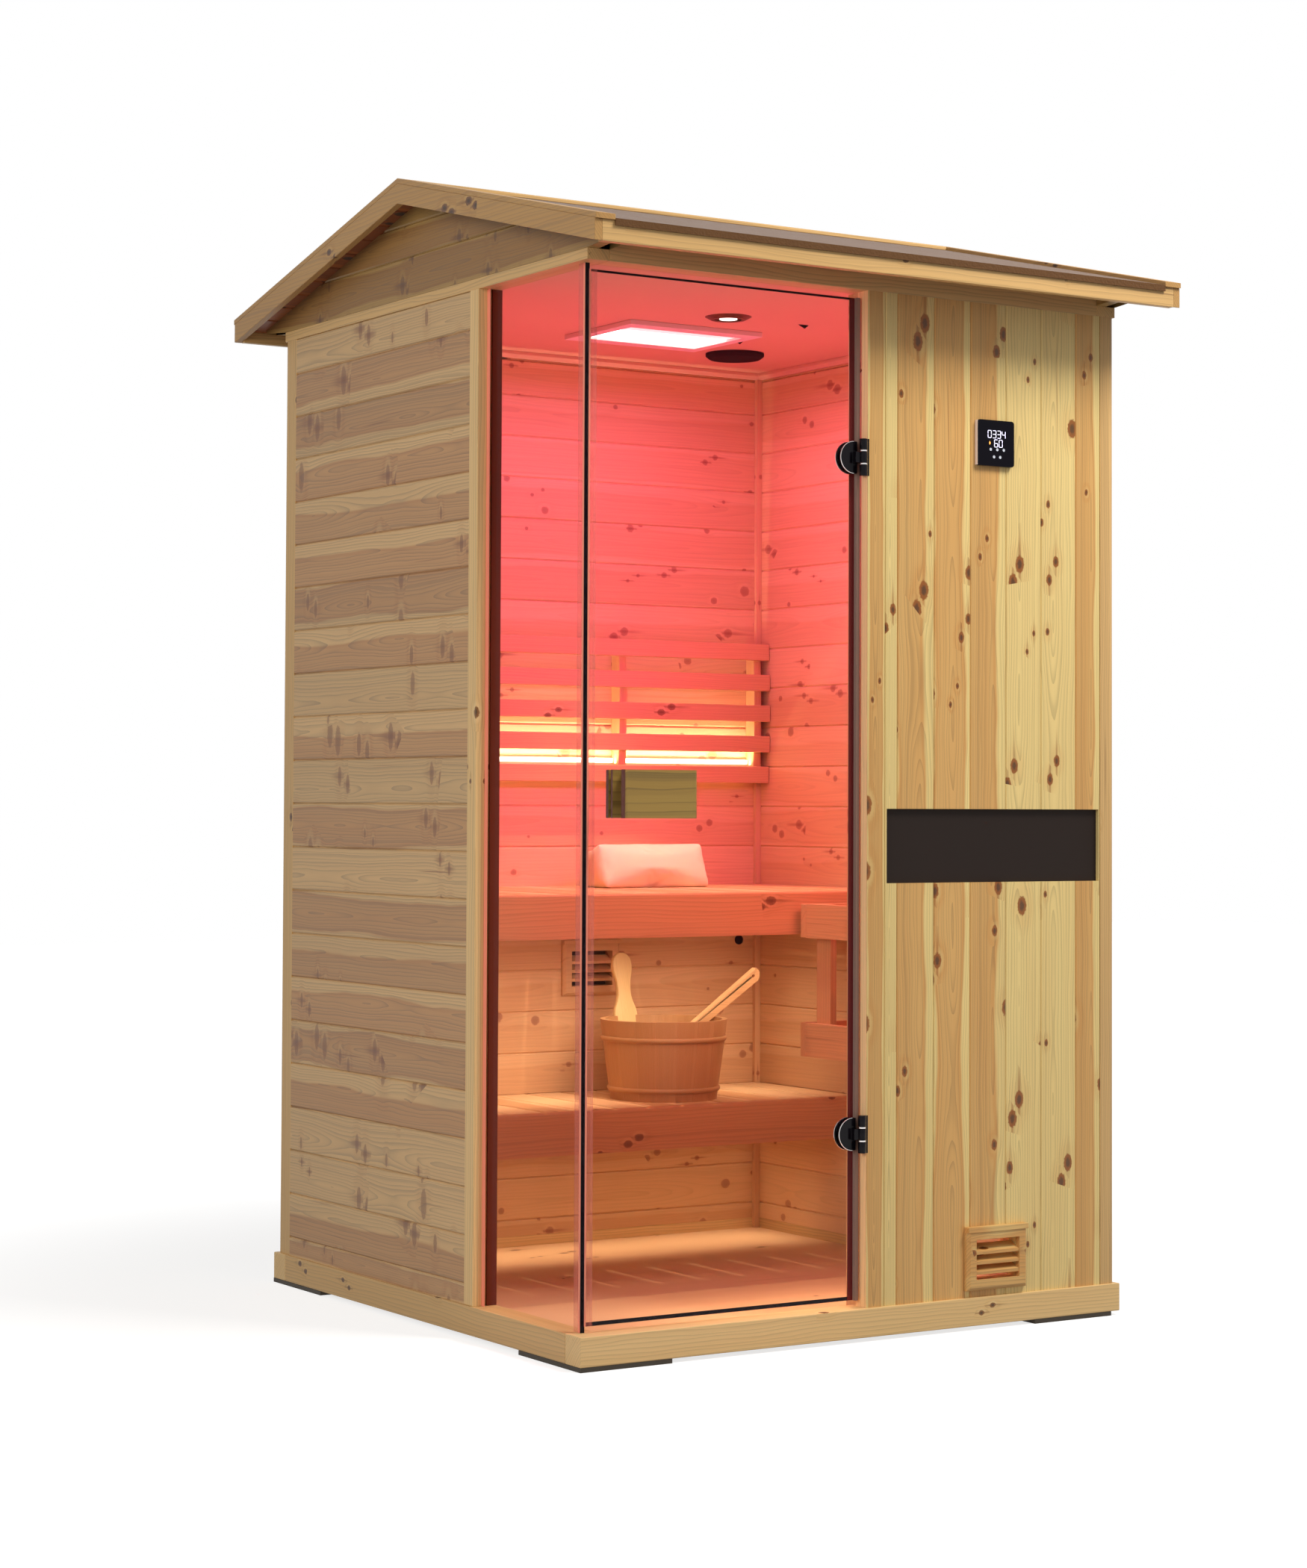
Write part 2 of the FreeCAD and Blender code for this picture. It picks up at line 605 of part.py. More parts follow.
def friezes():
    side_size = ("wall_thick", "2 * wall_out", "frieze_rise")
    node(several("side_frieze_pair", [
        box("frieze_left", ("-wall_out", "-wall_out", "door_head"), side_size),
        box("frieze_right", ("wall_in", "-wall_out", "door_head"), side_size),
    ]), "side_friezes")
    ends = []
    for tag, side in (("front", -1), ("back", 1)):
        ends.append(pad(f"frieze_{tag}", "YZ_Plane", [
            (f"{side} * wall_out", "door_head"),
            (f"{side} * wall_in", "door_head"),
            (f"{side} * wall_in", roof_at("wall_in", "-deck_plumb")),
            (f"{side} * wall_out", roof_at("wall_out", "-deck_plumb")),
        ], "2 * wall_in", ("-wall_in", "0", "0")))
    node(several("end_frieze_pair", ends), "end_friezes")


# Roof


def roof():
    under = "-deck_plumb"
    gable = [
        ("-wall_out", "frieze_top"),
        ("wall_out", "frieze_top"),
        ("gable_reach", "frieze_top + gable_tip_lift"),
        ("gable_reach", roof_at("gable_reach", under)),
        ("0", roof_at("0", under)),
        ("-gable_reach", roof_at("gable_reach", under)),
        ("-gable_reach", "frieze_top + gable_tip_lift"),
    ]
    node(pad("gable_l", "YZ_Plane", gable, "wall_thick", ("-wall_out", "0", "0")), "gable_left")
    node(pad("gable_r", "YZ_Plane", gable, "wall_thick", ("wall_in", "0", "0")), "gable_right")
    eaves = []
    for tag, side in (("front", -1), ("back", 1)):
        deck = pad(f"deck_{tag}", "YZ_Plane", slope_band(side, under, "0", "deck_half_y"),
                   "2 * deck_half_x", ("-deck_half_x", "0", "0"))
        node(deck, f"roof_boards_{tag}")
        eaves.append(pad(f"eaves_{tag}", "YZ_Plane", [
            (f"{side} * roof_half_y", "eave_level - rake_rise"),
            (f"{side} * deck_half_y", "eave_level - rake_rise"),
            (f"{side} * deck_half_y", roof_at("deck_half_y")),
            (f"{side} * roof_half_y", "eave_level"),
        ], "2 * deck_half_x", ("-deck_half_x", "0", "0")))
    node(several("eaves_pair", eaves), "eaves_boards")
    rakes = []
    trims = []
    edges = (("left", "-roof_half_x", "-roof_half_x"), ("right", "deck_half_x", "sheet_half_x"))
    for tag, rake_x, trim_x in edges:
        rakes.append(pad(f"rake_{tag}", "YZ_Plane", chevron("-rake_rise", "0", "roof_half_y"),
                         "rake_thick", (rake_x, "0", "0")))
        trims.append(pad(f"trim_{tag}", "YZ_Plane", chevron("0", "trim_plumb", "sheet_reach"),
                         "trim_wide", (trim_x, "0", "0")))
    node(several("rake_pair", rakes), "rake_boards")
    node(several("trim_pair", trims), "rake_trims")
    fold_in = "sheet_reach - sheet_plumb"
    node(pad("cover", "YZ_Plane", [
        ("-sheet_reach", roof_at("sheet_reach", "-sheet_fold")),
        (f"-({fold_in})", roof_at("sheet_reach", "-sheet_fold")),
        (f"-({fold_in})", roof_at(fold_in)),
        ("0", roof_at("0")),
        (fold_in, roof_at(fold_in)),
        (fold_in, roof_at("sheet_reach", "-sheet_fold")),
        ("sheet_reach", roof_at("sheet_reach", "-sheet_fold")),
        ("sheet_reach", roof_at("sheet_reach", "sheet_plumb")),
        ("0", roof_at("0", "sheet_plumb")),
        ("-sheet_reach", roof_at("sheet_reach", "sheet_plumb")),
    ], "2 * sheet_half_x", ("-sheet_half_x", "0", "0")), "roof_sheet")
    node(pad("cap", "YZ_Plane", chevron("sheet_plumb", "trim_plumb", "cap_half"),
             "2 * sheet_half_x", ("-sheet_half_x", "0", "0")), "ridge_cap")


# Fixed side pane, glass door, hinges and handle


def glazing():
    node(box("side_pane", ("-glass_out", "side_pane_front", "base_top"),
             ("glass_thick", "glass_bite - window_back_y - side_pane_front", "wall_rise")), "side_glass")
    rise = "door_high - door_low"
    node(box("door_pane", ("door_left", "-glass_out", "door_low"),
             ("door_wide", "glass_thick", rise)), "door_glass")
    edge = ("door_wide", "glass_thick", "door_seal")
    node(several("door_seal_set", [
        box("seal_hinge_side", ("door_right", "-glass_out", "door_low"), ("door_seal", "glass_thick", rise)),
        box("seal_top", ("door_left", "-glass_out", "door_high"), edge),
        box("seal_bottom", ("door_left", "-glass_out", "door_low - door_seal"), edge),
        box("seal_corner", ("door_left", "-glass_in", "door_low"),
            ("corner_seal_wide", "corner_seal_deep", rise)),
    ]), "door_seals")


def clamp_plate(name, level, face_y):
    """Hinge plate with a straight hinge side and a round far side; it ends at face_y towards the back."""
    left = "plate_right - hinge_plate_wide"
    half = "hinge_plate / 2"
    return pad(name, "XZ_Plane", [
        ("plate_right", f"{level} - {half}"),
        ("plate_right", f"{level} + {half}"),
        (f"{left} + {half}", f"{level} + {half}", half, 1),
        (left, level, half, 1),
        (f"{left} + {half}", f"{level} - {half}"),
    ], "hinge_plate_thick", ("0", face_y, "0"))


def hinge(tag, level):
    """Glass door hinge: its clamp, its back plate and its wall leaf with the pin."""
    plate = clamp_plate(f"front_plate_{tag}", level, "-glass_out")
    arm = box(f"arm_{tag}", ("plate_right - hinge_arm", "axis_y", f"{level} - knuckle_rise / 2"),
              ("axis_x - plate_right + hinge_arm", "-glass_out - axis_y", "knuckle_rise"))
    knuckle = rod(f"knuckle_{tag}", "knuckle_round", "knuckle_rise",
                  ("axis_x", "axis_y", f"{level} - knuckle_rise / 2"))
    bore = rod(f"bore_{tag}", "pin_round + pin_play", "knuckle_rise + 2",
               ("axis_x", "axis_y", f"{level} - knuckle_rise / 2 - 1"))
    clamp = cut(f"clamp_{tag}", fuse(f"clamp_stock_{tag}", [plate, arm, knuckle]), [bore])
    back_plate = clamp_plate(f"back_plate_{tag}", level, "hinge_plate_thick - glass_in")
    parts = [
        box(f"leaf_{tag}", ("door_side_x", "-wall_out", f"{level} - leaf_half"),
            ("leaf_thick", "leaf_deep", "2 * leaf_half")),
        rod(f"pin_{tag}", "pin_round", "2 * leaf_half", ("axis_x", "axis_y", f"{level} - leaf_half")),
    ]
    for end, low in (("high", f"{level} + knuckle_rise / 2 + washer_rise"), ("low", f"{level} - leaf_half")):
        parts.append(rod(f"jamb_knuckle_{end}_{tag}", "knuckle_round", "knuckle_rise",
                         ("axis_x", "axis_y", low)))
        parts.append(box(f"jamb_web_{end}_{tag}", ("axis_x", "axis_y - web_thick / 2", low),
                         ("axis_inset_x + leaf_thick / 2", "web_thick", "knuckle_rise")))
    return clamp, back_plate, fuse(f"jamb_half_{tag}", parts)


def door_hardware():
    clamps, back_plates, leaves = zip(hinge("upper", "hinge_high"), hinge("lower", "hinge_low"))
    node(several("clamp_pair", list(clamps)), "hinge_clamps")
    node(several("back_plate_pair", list(back_plates)), "hinge_back_plates")
    node(several("leaf_pair", list(leaves)), "hinge_leaves")
    left = "handle_left"
    right = "handle_left + handle_wide"
    front = "-glass_out - handle_deep"
    grip = pad("grip_body", "XY_Plane", [
        (f"{left} + handle_round", front),
        (f"{right} - handle_round", front, "handle_round", 1),
        (right, f"{front} + handle_round"),
        (right, f"{front} + handle_lip"),
        (f"{right} - handle_groove", f"{front} + handle_lip"),
        (f"{right} - handle_groove", "-glass_out - handle_foot"),
        (right, "-glass_out - handle_foot"),
        (right, "-glass_out"),
        (left, "-glass_out"),
        (left, "-glass_out - handle_foot"),
        (f"{left} + handle_groove", "-glass_out - handle_foot"),
        (f"{left} + handle_groove", f"{front} + handle_lip"),
        (left, f"{front} + handle_lip"),
        (left, f"{front} + handle_round", "handle_round", 1),
    ], "handle_rise", ("0", "0", "handle_low"))
    node(grip, "handle_outer")
    inner = box("handle_in", (left, "-glass_in", "handle_low"),
                ("handle_wide", "handle_inner_deep", "handle_rise"))
    face_y = reading("handle_inner_deep - glass_in")
    node(eased("handle_in_round", inner, "Part::Fillet", "handle_round",
               lambda edge, middle: abs(middle.y - face_y) < 0.01), "handle_inner")


# Vents and panels on the walls


def vent(label, x_middle, z_middle, face_y):
    """Bevelled frame on the front of a wall face, with louvres that fall towards the front of the opening."""
    front_y = f"{face_y} - vent_frame_thick"
    low = f"{z_middle} - vent_open_rise / 2"
    stock = box(f"{label}_stock", (f"{x_middle} - vent_frame_half", front_y, f"{low} - vent_frame_wide"),
                ("2 * vent_frame_half", "vent_frame_thick", "vent_open_rise + 2 * vent_frame_wide"))
    face = reading(front_y)
    bevelled = eased(f"{label}_bevel", stock, "Part::Chamfer", "vent_bevel",
                     lambda edge, middle: abs(middle.y - face) < 0.01)
    hole = box(f"{label}_hole", (f"{x_middle} - vent_open_wide / 2", f"{front_y} - 1", low),
               ("vent_open_wide", "vent_frame_thick + 2", "vent_open_rise"))
    lip = box(f"{label}_lip", (f"{x_middle} - vent_frame_half", f"{front_y} - vent_lip_proud",
                               f"{low} + vent_open_rise + vent_frame_wide - vent_bevel"),
              ("2 * vent_frame_half", "vent_frame_thick + vent_lip_proud", "vent_bevel + vent_lip"))
    parts = [cut(f"{label}_frame", bevelled, [hole]), lip]
    for step in range(int(reading("louvre_count"))):
        level = f"{low} + {step + 1} * vent_open_rise / (louvre_count + 1)"
        start_y = f"{front_y} + louvre_sink"
        parts.append(pad(f"{label}_louvre_{step}", "YZ_Plane", [
            (start_y, f"{level} - louvre_fall / 2 - louvre_thick / 2"),
            (f"{start_y} + louvre_deep", f"{level} + louvre_fall / 2 - louvre_thick / 2"),
            (f"{start_y} + louvre_deep", f"{level} + louvre_fall / 2 + louvre_thick / 2"),
            (start_y, f"{level} - louvre_fall / 2 + louvre_thick / 2"),
        ], "vent_open_wide", (f"{x_middle} - vent_open_wide / 2", "0", "0")))
    node(fuse(f"{label}_whole", parts), label)


def fittings():
    vent("front_vent", "vent_x", "vent_level", "-wall_out")
    vent("back_vent", "back_vent_x", "back_vent_level", "wall_in")
    half = "control_side / 2"
    flat = "(control_side / 2 - control_round)"
    node(pad("control", "XZ_Plane", [
        (f"control_x - {flat}", f"control_level - {half}"),
        (f"control_x + {flat}", f"control_level - {half}", "control_round", 1),
        (f"control_x + {half}", f"control_level - {flat}"),
        (f"control_x + {half}", f"control_level + {flat}", "control_round", 1),
        (f"control_x + {flat}", f"control_level + {half}"),
        (f"control_x - {flat}", f"control_level + {half}", "control_round", 1),
        (f"control_x - {half}", f"control_level + {flat}"),
        (f"control_x - {half}", f"control_level - {flat}", "control_round", 1),
    ], "control_thick", ("0", "-wall_out", "0")), "control_panel")


# Benches, backrest and heater guard


def bench(label, level, front_y, prefix):
    """Slats from front to back on two battens, behind a front apron with a rounded top arris."""
    deep = f"wall_in - {front_y} - slat_thick"
    parts = []
    wide = f"{prefix}_slat_wide"
    for index in range(int(reading(f"{prefix}_slat_count"))):
        parts.append(box(f"{label}_slat_{index}",
                         (f"-bench_half + {index} * ({wide} + slat_gap)", f"{front_y} + slat_thick",
                          f"{level} - slat_thick"), (wide, deep, "slat_thick")))
    for tag, y_low in (("front", f"{front_y} + slat_thick"), ("back", "wall_in - bench_batten")):
        parts.append(box(f"{label}_batten_{tag}",
                         ("-bench_half", y_low, f"{level} - slat_thick - bench_batten"),
                         ("2 * bench_half", "bench_batten", "bench_batten")))
    node(fuse(f"{label}_deck", parts), f"{label}_slats")
    node(pad(f"{label}_front", "YZ_Plane", [
        (front_y, f"{level} - apron_rise"),
        (f"{front_y} + slat_thick", f"{level} - apron_rise"),
        (f"{front_y} + slat_thick", level),
        (f"{front_y} + apron_round", level, "apron_round", 1),
        (front_y, f"{level} - apron_round"),
    ], "2 * bench_half", ("-bench_half", "0", "0")), f"{label}_apron")


def back_board(index):
    """Backrest board that lies flat on the bowed ribs at its own height."""
    lift = f"{index - 2} * back_pitch"
    lean = f"({lift}) / rib_radius"
    seat_y = f"rib_end_y - rib_bow + ({lift}) * {lean} / 2"
    low = f"back_middle + {lift} - back_board_rise / 2"
    shift = f"{lean} * back_board_rise / 2"
    return pad(f"back_board_{index}", "YZ_Plane", [
        (f"{seat_y} - {shift}", low),
        (f"{seat_y} + {shift}", f"{low} + back_board_rise"),
        (f"{seat_y} + {shift} - back_board_thick", f"{low} + back_board_rise + {lean} * back_board_thick"),
        (f"{seat_y} - {shift} - back_board_thick", f"{low} + {lean} * back_board_thick"),
    ], "2 * bench_half", ("-bench_half", "0", "0"))


def backrest():
    ribs = []
    for index, x_middle in enumerate(("-rib_outer_x", "-rib_inner_x", "rib_inner_x", "rib_outer_x")):
        ribs.append(pad(f"rib_{index}", "YZ_Plane", [
            ("wall_in", "back_middle - back_half"),
            ("wall_in", "back_middle + back_half"),
            ("rib_end_y", "back_middle + back_half", "rib_radius", 1),
            ("rib_end_y", "back_middle - back_half"),
        ], "rib_thick", (f"{x_middle} - rib_thick / 2", "0", "0")))
    node(several("rib_set", ribs), "backrest_ribs")
    node(several("back_board_set", [back_board(index) for index in range(5)]), "backrest_boards")
    bays = []
    rib_places = ("-rib_outer_x", "-rib_inner_x", "rib_inner_x", "rib_outer_x")
    for index, (left, right) in enumerate(zip(rib_places, rib_places[1:])):
        bays.append(box(f"light_bay_{index}",
                        (f"{left} + rib_thick / 2", "wall_in - strip_thick", "strip_level"),
                        (f"{right} - ({left}) - rib_thick", "strip_thick", "strip_rise")))
    node(several("light_bays", bays), "light_strip")


def heater_guard():
    side_rails = []
    back_rails = []
    for tag, level in (("low", "guard_low"), ("high", "guard_high")):
        side_rails.append(box(f"guard_side_{tag}", ("guard_side_x", "-wall_in", level),
                              ("guard_rail_thick", "wall_in - guard_back_y", "guard_rail_rise")))
        back_rails.append(box(f"guard_back_{tag}", ("guard_side_x", "-guard_back_y", level),
                              ("wall_in - guard_side_x", "guard_rail_thick", "guard_rail_rise")))
    node(several("side_rail_pair", side_rails), "guard_side_rails")
    node(several("back_rail_pair", back_rails), "guard_back_rails")
    post_y = "-guard_back_y - guard_post_gap - guard_post_wide"
    node(box("guard_post_stock", ("guard_side_x + guard_rail_thick", post_y, "guard_low"),
             ("guard_post_thick", "guard_post_wide", "guard_high + guard_rail_rise - guard_low")),
         "guard_post")


# Ceiling and inner trims


def ceiling():
    node(box("ceiling_board", ("-wall_in", "-wall_in", "ceiling_face"),
             ("2 * wall_in", "2 * wall_in", "ceiling_thick")), "ceiling_panel")
    lens_size = ("lamp_wide - 2 * lamp_border", "lamp_deep - 2 * lamp_end_border")
    lens_low = ("lamp_left + lamp_border", "lamp_front_y + lamp_end_border")
    lamp = box("lamp_stock", ("lamp_left", "lamp_front_y", "ceiling_face - lamp_drop"),
               ("lamp_wide", "lamp_deep", "lamp_drop"))
    lamp_hole = box("lamp_hole", (*lens_low, "ceiling_face - lamp_drop - 1"), (*lens_size, "lamp_drop + 2"))
    node(cut("lamp_ring", lamp, [lamp_hole]), "ceiling_lamp_frame")
    node(box("lens", (*lens_low, "ceiling_face - lens_thick"),
             (*lens_size, "lens_thick")), "ceiling_lamp_lens")
    node(turned("spot", [
        ("0", "ceiling_face - spot_drop / 2"),
        ("spot_lens", "ceiling_face - spot_drop / 2"),
        ("spot_lens", "ceiling_face - spot_drop"),
        ("spot_round - spot_rim", "ceiling_face - spot_drop"),
        ("spot_round", "ceiling_face"),
        ("0", "ceiling_face"),
    ], ("spot_x", "-spot_y", "0")), "downlight")
    node(turned("speaker", [
        ("0", "ceiling_face - speaker_drop"),
        ("speaker_round - speaker_rim", "ceiling_face - speaker_drop"),
        ("speaker_round", "ceiling_face - speaker_drop / 2"),
        ("speaker_round", "ceiling_face"),
        ("0", "ceiling_face"),
    ], ("speaker_x", "speaker_y", "0")), "ceiling_speaker")


def inner_trims():
    spans = [
        ("low", "floor_top", "step_level - slat_thick - bench_batten"),
        ("mid", "step_level", "bench_level - slat_thick - bench_batten"),
        ("top", "bench_level", "ceiling_face - cove"),
    ]
    battens = []
    for tag, x_low in (("left", "-wall_in"), ("right", "wall_in - corner_batten")):
        for part, low, high in spans:
            battens.append(box(f"batten_{tag}_{part}", (x_low, "wall_in - corner_batten_thick", low),
                               ("corner_batten", "corner_batten_thick", f"{high} - {low}")))
    battens.append(box("batten_front", ("wall_in - corner_batten", "-wall_in", "floor_top"),
                       ("corner_batten", "corner_batten_thick", "ceiling_face - cove - floor_top")))
    node(several("batten_set", battens), "inner_corner_battens")
    node(box("jamb_trim", ("door_side_x", "-wall_in", "floor_top"),
             ("jamb_wide", "jamb_thick", "door_head - floor_top")), "door_jamb_trim")
    coves = []
    for tag, y_low in (("front", "-wall_in"), ("back", "wall_in - cove")):
        coves.append(box(f"cove_{tag}", ("-wall_in", y_low, "ceiling_face - cove"),
                         ("2 * wall_in", "cove", "cove")))
    for tag, x_low in (("left", "-wall_in"), ("right", "wall_in - cove")):
        coves.append(box(f"cove_{tag}", (x_low, "cove - wall_in", "ceiling_face - cove"),
                         ("cove", "2 * wall_in - 2 * cove", "cove")))
    ring = fuse("cove_ring", coves)
    inside = reading("wall_in - cove")
    low = reading("ceiling_face - cove")
    node(eased("cove_bevel", ring, "Part::Chamfer", "cove / 2",
               lambda edge, middle: abs(middle.z - low) < 0.01
               and abs(max(abs(middle.x), abs(middle.y)) - inside) < 0.01), "ceiling_coves")


# Bucket, ladle and pillow


def bucket():
    """Coopered bucket with two hoops and one taller stave whose top is a club-shaped grip."""
    centre = ("bucket_x", "bucket_y")
    outer = coopered("staves", centre, [("bucket_foot", "step_level"), ("bucket_rim", "bucket_top")])
    parts = [outer]
    for tag, level in (("low", "hoop_low"), ("high", "hoop_high")):
        rings = []
        for rise, proud in (("0", "hoop_root"), ("hoop_bevel", "hoop_thick"),
                            ("hoop_rise - hoop_bevel", "hoop_thick"), ("hoop_rise", "hoop_root")):
            rings.append((f"bucket_foot + stave_slope * ({level} + {rise}) + {proud}",
                          f"step_level + {level} + {rise}"))
        parts.append(coopered(f"hoop_{tag}", centre, rings))
    foot = "grip_foot / 2"
    neck = "grip_neck / 2"
    knob = "grip_knob / 2"
    crown = "grip_crown / 2"
    waist_bow = bow("(grip_foot - grip_neck) / 2", "grip_waist")
    chest_bow = bow("(grip_knob - grip_neck) / 2", "grip_cheek - grip_chest")
    grip = pad("grip_stave", "XZ_Plane", [
        (f"-{foot}", "-grip_sink"),
        (foot, "-grip_sink"),
        (foot, "0", waist_bow, -1),
        (neck, "grip_waist"),
        (neck, "grip_chest", chest_bow, -1),
        (knob, "grip_cheek", "grip_knob / 3", 1),
        (knob, "grip_brow", "grip_knob / 2", 1),
        (crown, "grip_rise", "2 * grip_crown", 1),
        (f"-{crown}", "grip_rise", "grip_knob / 2", 1),
        (f"-{knob}", "grip_brow", "grip_knob / 3", 1),
        (f"-{knob}", "grip_cheek", chest_bow, -1),
        (f"-{neck}", "grip_chest"),
        (f"-{neck}", "grip_waist", waist_bow, -1),
        (f"-{foot}", "0"),
    ], "bucket_wall")
    lean = FreeCAD.Rotation(FreeCAD.Vector(1, 0, 0), -math.degrees(math.atan(reading("stave_slope"))))
    swing = math.degrees(math.asin(reading("grip_shift / grip_reach")))
    turn = FreeCAD.Rotation(FreeCAD.Vector(0, 0, 1), swing)
    grip.Placement.Rotation = turn.multiply(lean)
    place(grip, ("bucket_x - grip_shift", "bucket_y + grip_off", "bucket_top"))
    mouth = coopered("mouth", centre, [
        ("bucket_foot - bucket_wall + stave_slope * bucket_bottom", "step_level + bucket_bottom"),
        ("bucket_rim - bucket_wall", "bucket_top"),
    ])
    hollowed = cut("bucket_hollowed", fuse("bucket_stock", parts), [mouth])
    node(fuse("bucket_whole", [hollowed, grip]), "bucket")


def ladle():
    """Cup in the bucket with a tapered handle that leans on the rim."""
    centre = ("bucket_x - ladle_back_x", "bucket_y")
    shell = coopered("ladle_shell", centre, [
        ("ladle_round - ladle_flare", "ladle_foot"),
        ("ladle_round", "ladle_top"),
    ])
    inside = coopered("ladle_inside", centre, [
        ("ladle_round - ladle_flare - ladle_wall", "ladle_foot + ladle_wall"),
        ("ladle_round - ladle_wall", "ladle_top"),
    ])
    cup = cut("ladle_cup_hollowed", shell, [inside])
    tip = "ladle_handle_x + ladle_run"
    tip_low = "ladle_handle_low + ladle_slope * ladle_run"
    stick = pad("ladle_stick", "XZ_Plane", [
        ("ladle_handle_x", "ladle_handle_low"),
        (tip, tip_low, "ladle_end_round", 1),
        (tip, f"{tip_low} + ladle_thick"),
        ("ladle_handle_x", "ladle_top"),
    ], "ladle_wide", ("bucket_x - ladle_back_x", "bucket_y + ladle_wide / 2", "0"))
    eye = rod("ladle_eye_hole", "ladle_eye", "ladle_wide + 2",
              (f"bucket_x - ladle_back_x + {tip} - ladle_eye_inset", "bucket_y - ladle_wide / 2 - 1",
               f"{tip_low} + (ladle_thick - ladle_slope * ladle_eye_inset) / 2"), "y")
    node(cut("ladle_pierced", fuse("ladle_whole", [cup, stick]), [eye]), "ladle")


def pillow():
    node(pad("pillow_body", "YZ_Plane", [
        ("pillow_front_y", "bench_level"),
        ("pillow_front_y + pillow_deep", "bench_level"),
        ("pillow_front_y + pillow_deep", "bench_level + pillow_back_rise"),
        ("pillow_front_y + pillow_lean", "bench_level + pillow_rise"),
        ("pillow_front_y", "bench_level + pillow_lip"),
    ], "pillow_wide", ("pillow_x", "0", "0")), "pillow")


def export():
    """Check every object, then write one file for each sub-part."""
    doc.recompute()
    bad = [thing.Name for thing in doc.Objects if "Invalid" in thing.State or "Error" in thing.State]
    if bad:
        raise SystemExit("not made: " + ", ".join(bad))
    os.makedirs("parts", exist_ok=True)
    for thing in nodes:
        shape = thing.Shape
        if shape.isNull() or not shape.isValid() or not shape.Solids:
            raise SystemExit("no valid solid: " + thing.Label)
        shape.exportStep(os.path.join("parts", thing.Label + ".step"))
        bounds = shape.BoundBox
        print(f"{thing.Label:22s} {len(shape.Solids):2d} solids {shape.Volume / 1e6:8.3f} l  "
              f"x {bounds.XMin:7.1f} {bounds.XMax:7.1f}  y {bounds.YMin:7.1f} {bounds.YMax:7.1f}  "
              f"z {bounds.ZMin:7.1f} {bounds.ZMax:7.1f}")
    print(len(nodes), "sub-parts")


base()
walls()
posts()
friezes()
roof()
glazing()
door_hardware()
fittings()
bench("upper_bench", "bench_level", "bench_front", "bench")
bench("lower_bench", "step_level", "step_front", "step")
backrest()
heater_guard()
ceiling()
inner_trims()
bucket()
ladle()
pillow()
export()
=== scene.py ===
import logging
import math
import random
from collections.abc import Callable, Iterable
from dataclasses import dataclass
from enum import Enum
from functools import cache

import bpy
from mathutils import Matrix, Vector


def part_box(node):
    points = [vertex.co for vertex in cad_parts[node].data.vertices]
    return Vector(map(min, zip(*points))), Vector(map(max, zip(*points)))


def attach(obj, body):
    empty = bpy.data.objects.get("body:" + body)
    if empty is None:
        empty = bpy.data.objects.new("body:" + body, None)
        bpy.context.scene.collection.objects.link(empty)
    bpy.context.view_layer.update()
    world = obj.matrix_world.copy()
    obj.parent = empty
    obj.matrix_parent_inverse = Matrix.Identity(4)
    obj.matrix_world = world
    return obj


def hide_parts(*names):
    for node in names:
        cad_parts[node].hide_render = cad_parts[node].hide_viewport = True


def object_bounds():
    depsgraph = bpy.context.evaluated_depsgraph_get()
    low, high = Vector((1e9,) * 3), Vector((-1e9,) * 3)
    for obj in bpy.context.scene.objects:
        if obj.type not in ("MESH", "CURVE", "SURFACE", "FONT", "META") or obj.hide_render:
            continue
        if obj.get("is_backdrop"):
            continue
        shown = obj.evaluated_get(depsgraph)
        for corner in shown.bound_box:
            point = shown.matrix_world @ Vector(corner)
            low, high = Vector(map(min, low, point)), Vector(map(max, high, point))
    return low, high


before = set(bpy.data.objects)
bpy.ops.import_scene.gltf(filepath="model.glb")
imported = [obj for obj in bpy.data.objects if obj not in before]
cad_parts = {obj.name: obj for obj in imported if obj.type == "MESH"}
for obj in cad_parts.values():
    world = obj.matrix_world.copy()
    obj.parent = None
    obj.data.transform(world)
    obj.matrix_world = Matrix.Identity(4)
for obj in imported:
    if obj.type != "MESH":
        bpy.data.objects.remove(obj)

log = logging.getLogger("sauna")

Colour = tuple[float, float, float]
Point = tuple[float, float, float]
Pair = tuple[float, float]
Thing = bpy.types.Object
Material = bpy.types.Material
Socket = bpy.types.NodeSocket

TINY = 1e-6
WHITE = (1.0, 1.0, 1.0)


def srgb(red: float, green: float, blue: float) -> Colour:
    """Turn display values from 0 to 255 into linear light.

    Args:
        red: Display red.
        green: Display green.
        blue: Display blue.

    Returns:
        The linear colour.
    """
    return tuple(
        part / 12.92 if part <= 0.04045 else ((part + 0.055) / 1.055) ** 2.4
        for part in (red / 255, green / 255, blue / 255)
    )


class Axis(Enum):
    """Axis of the row frame."""

    X = 0
    Y = 1
    Z = 2


X, Y, Z = Axis


class Grain(Enum):
    """Where a wood takes its grain coordinates from."""

    BOARD = "board"
    X = "X"
    Y = "Y"
    Z = "Z"


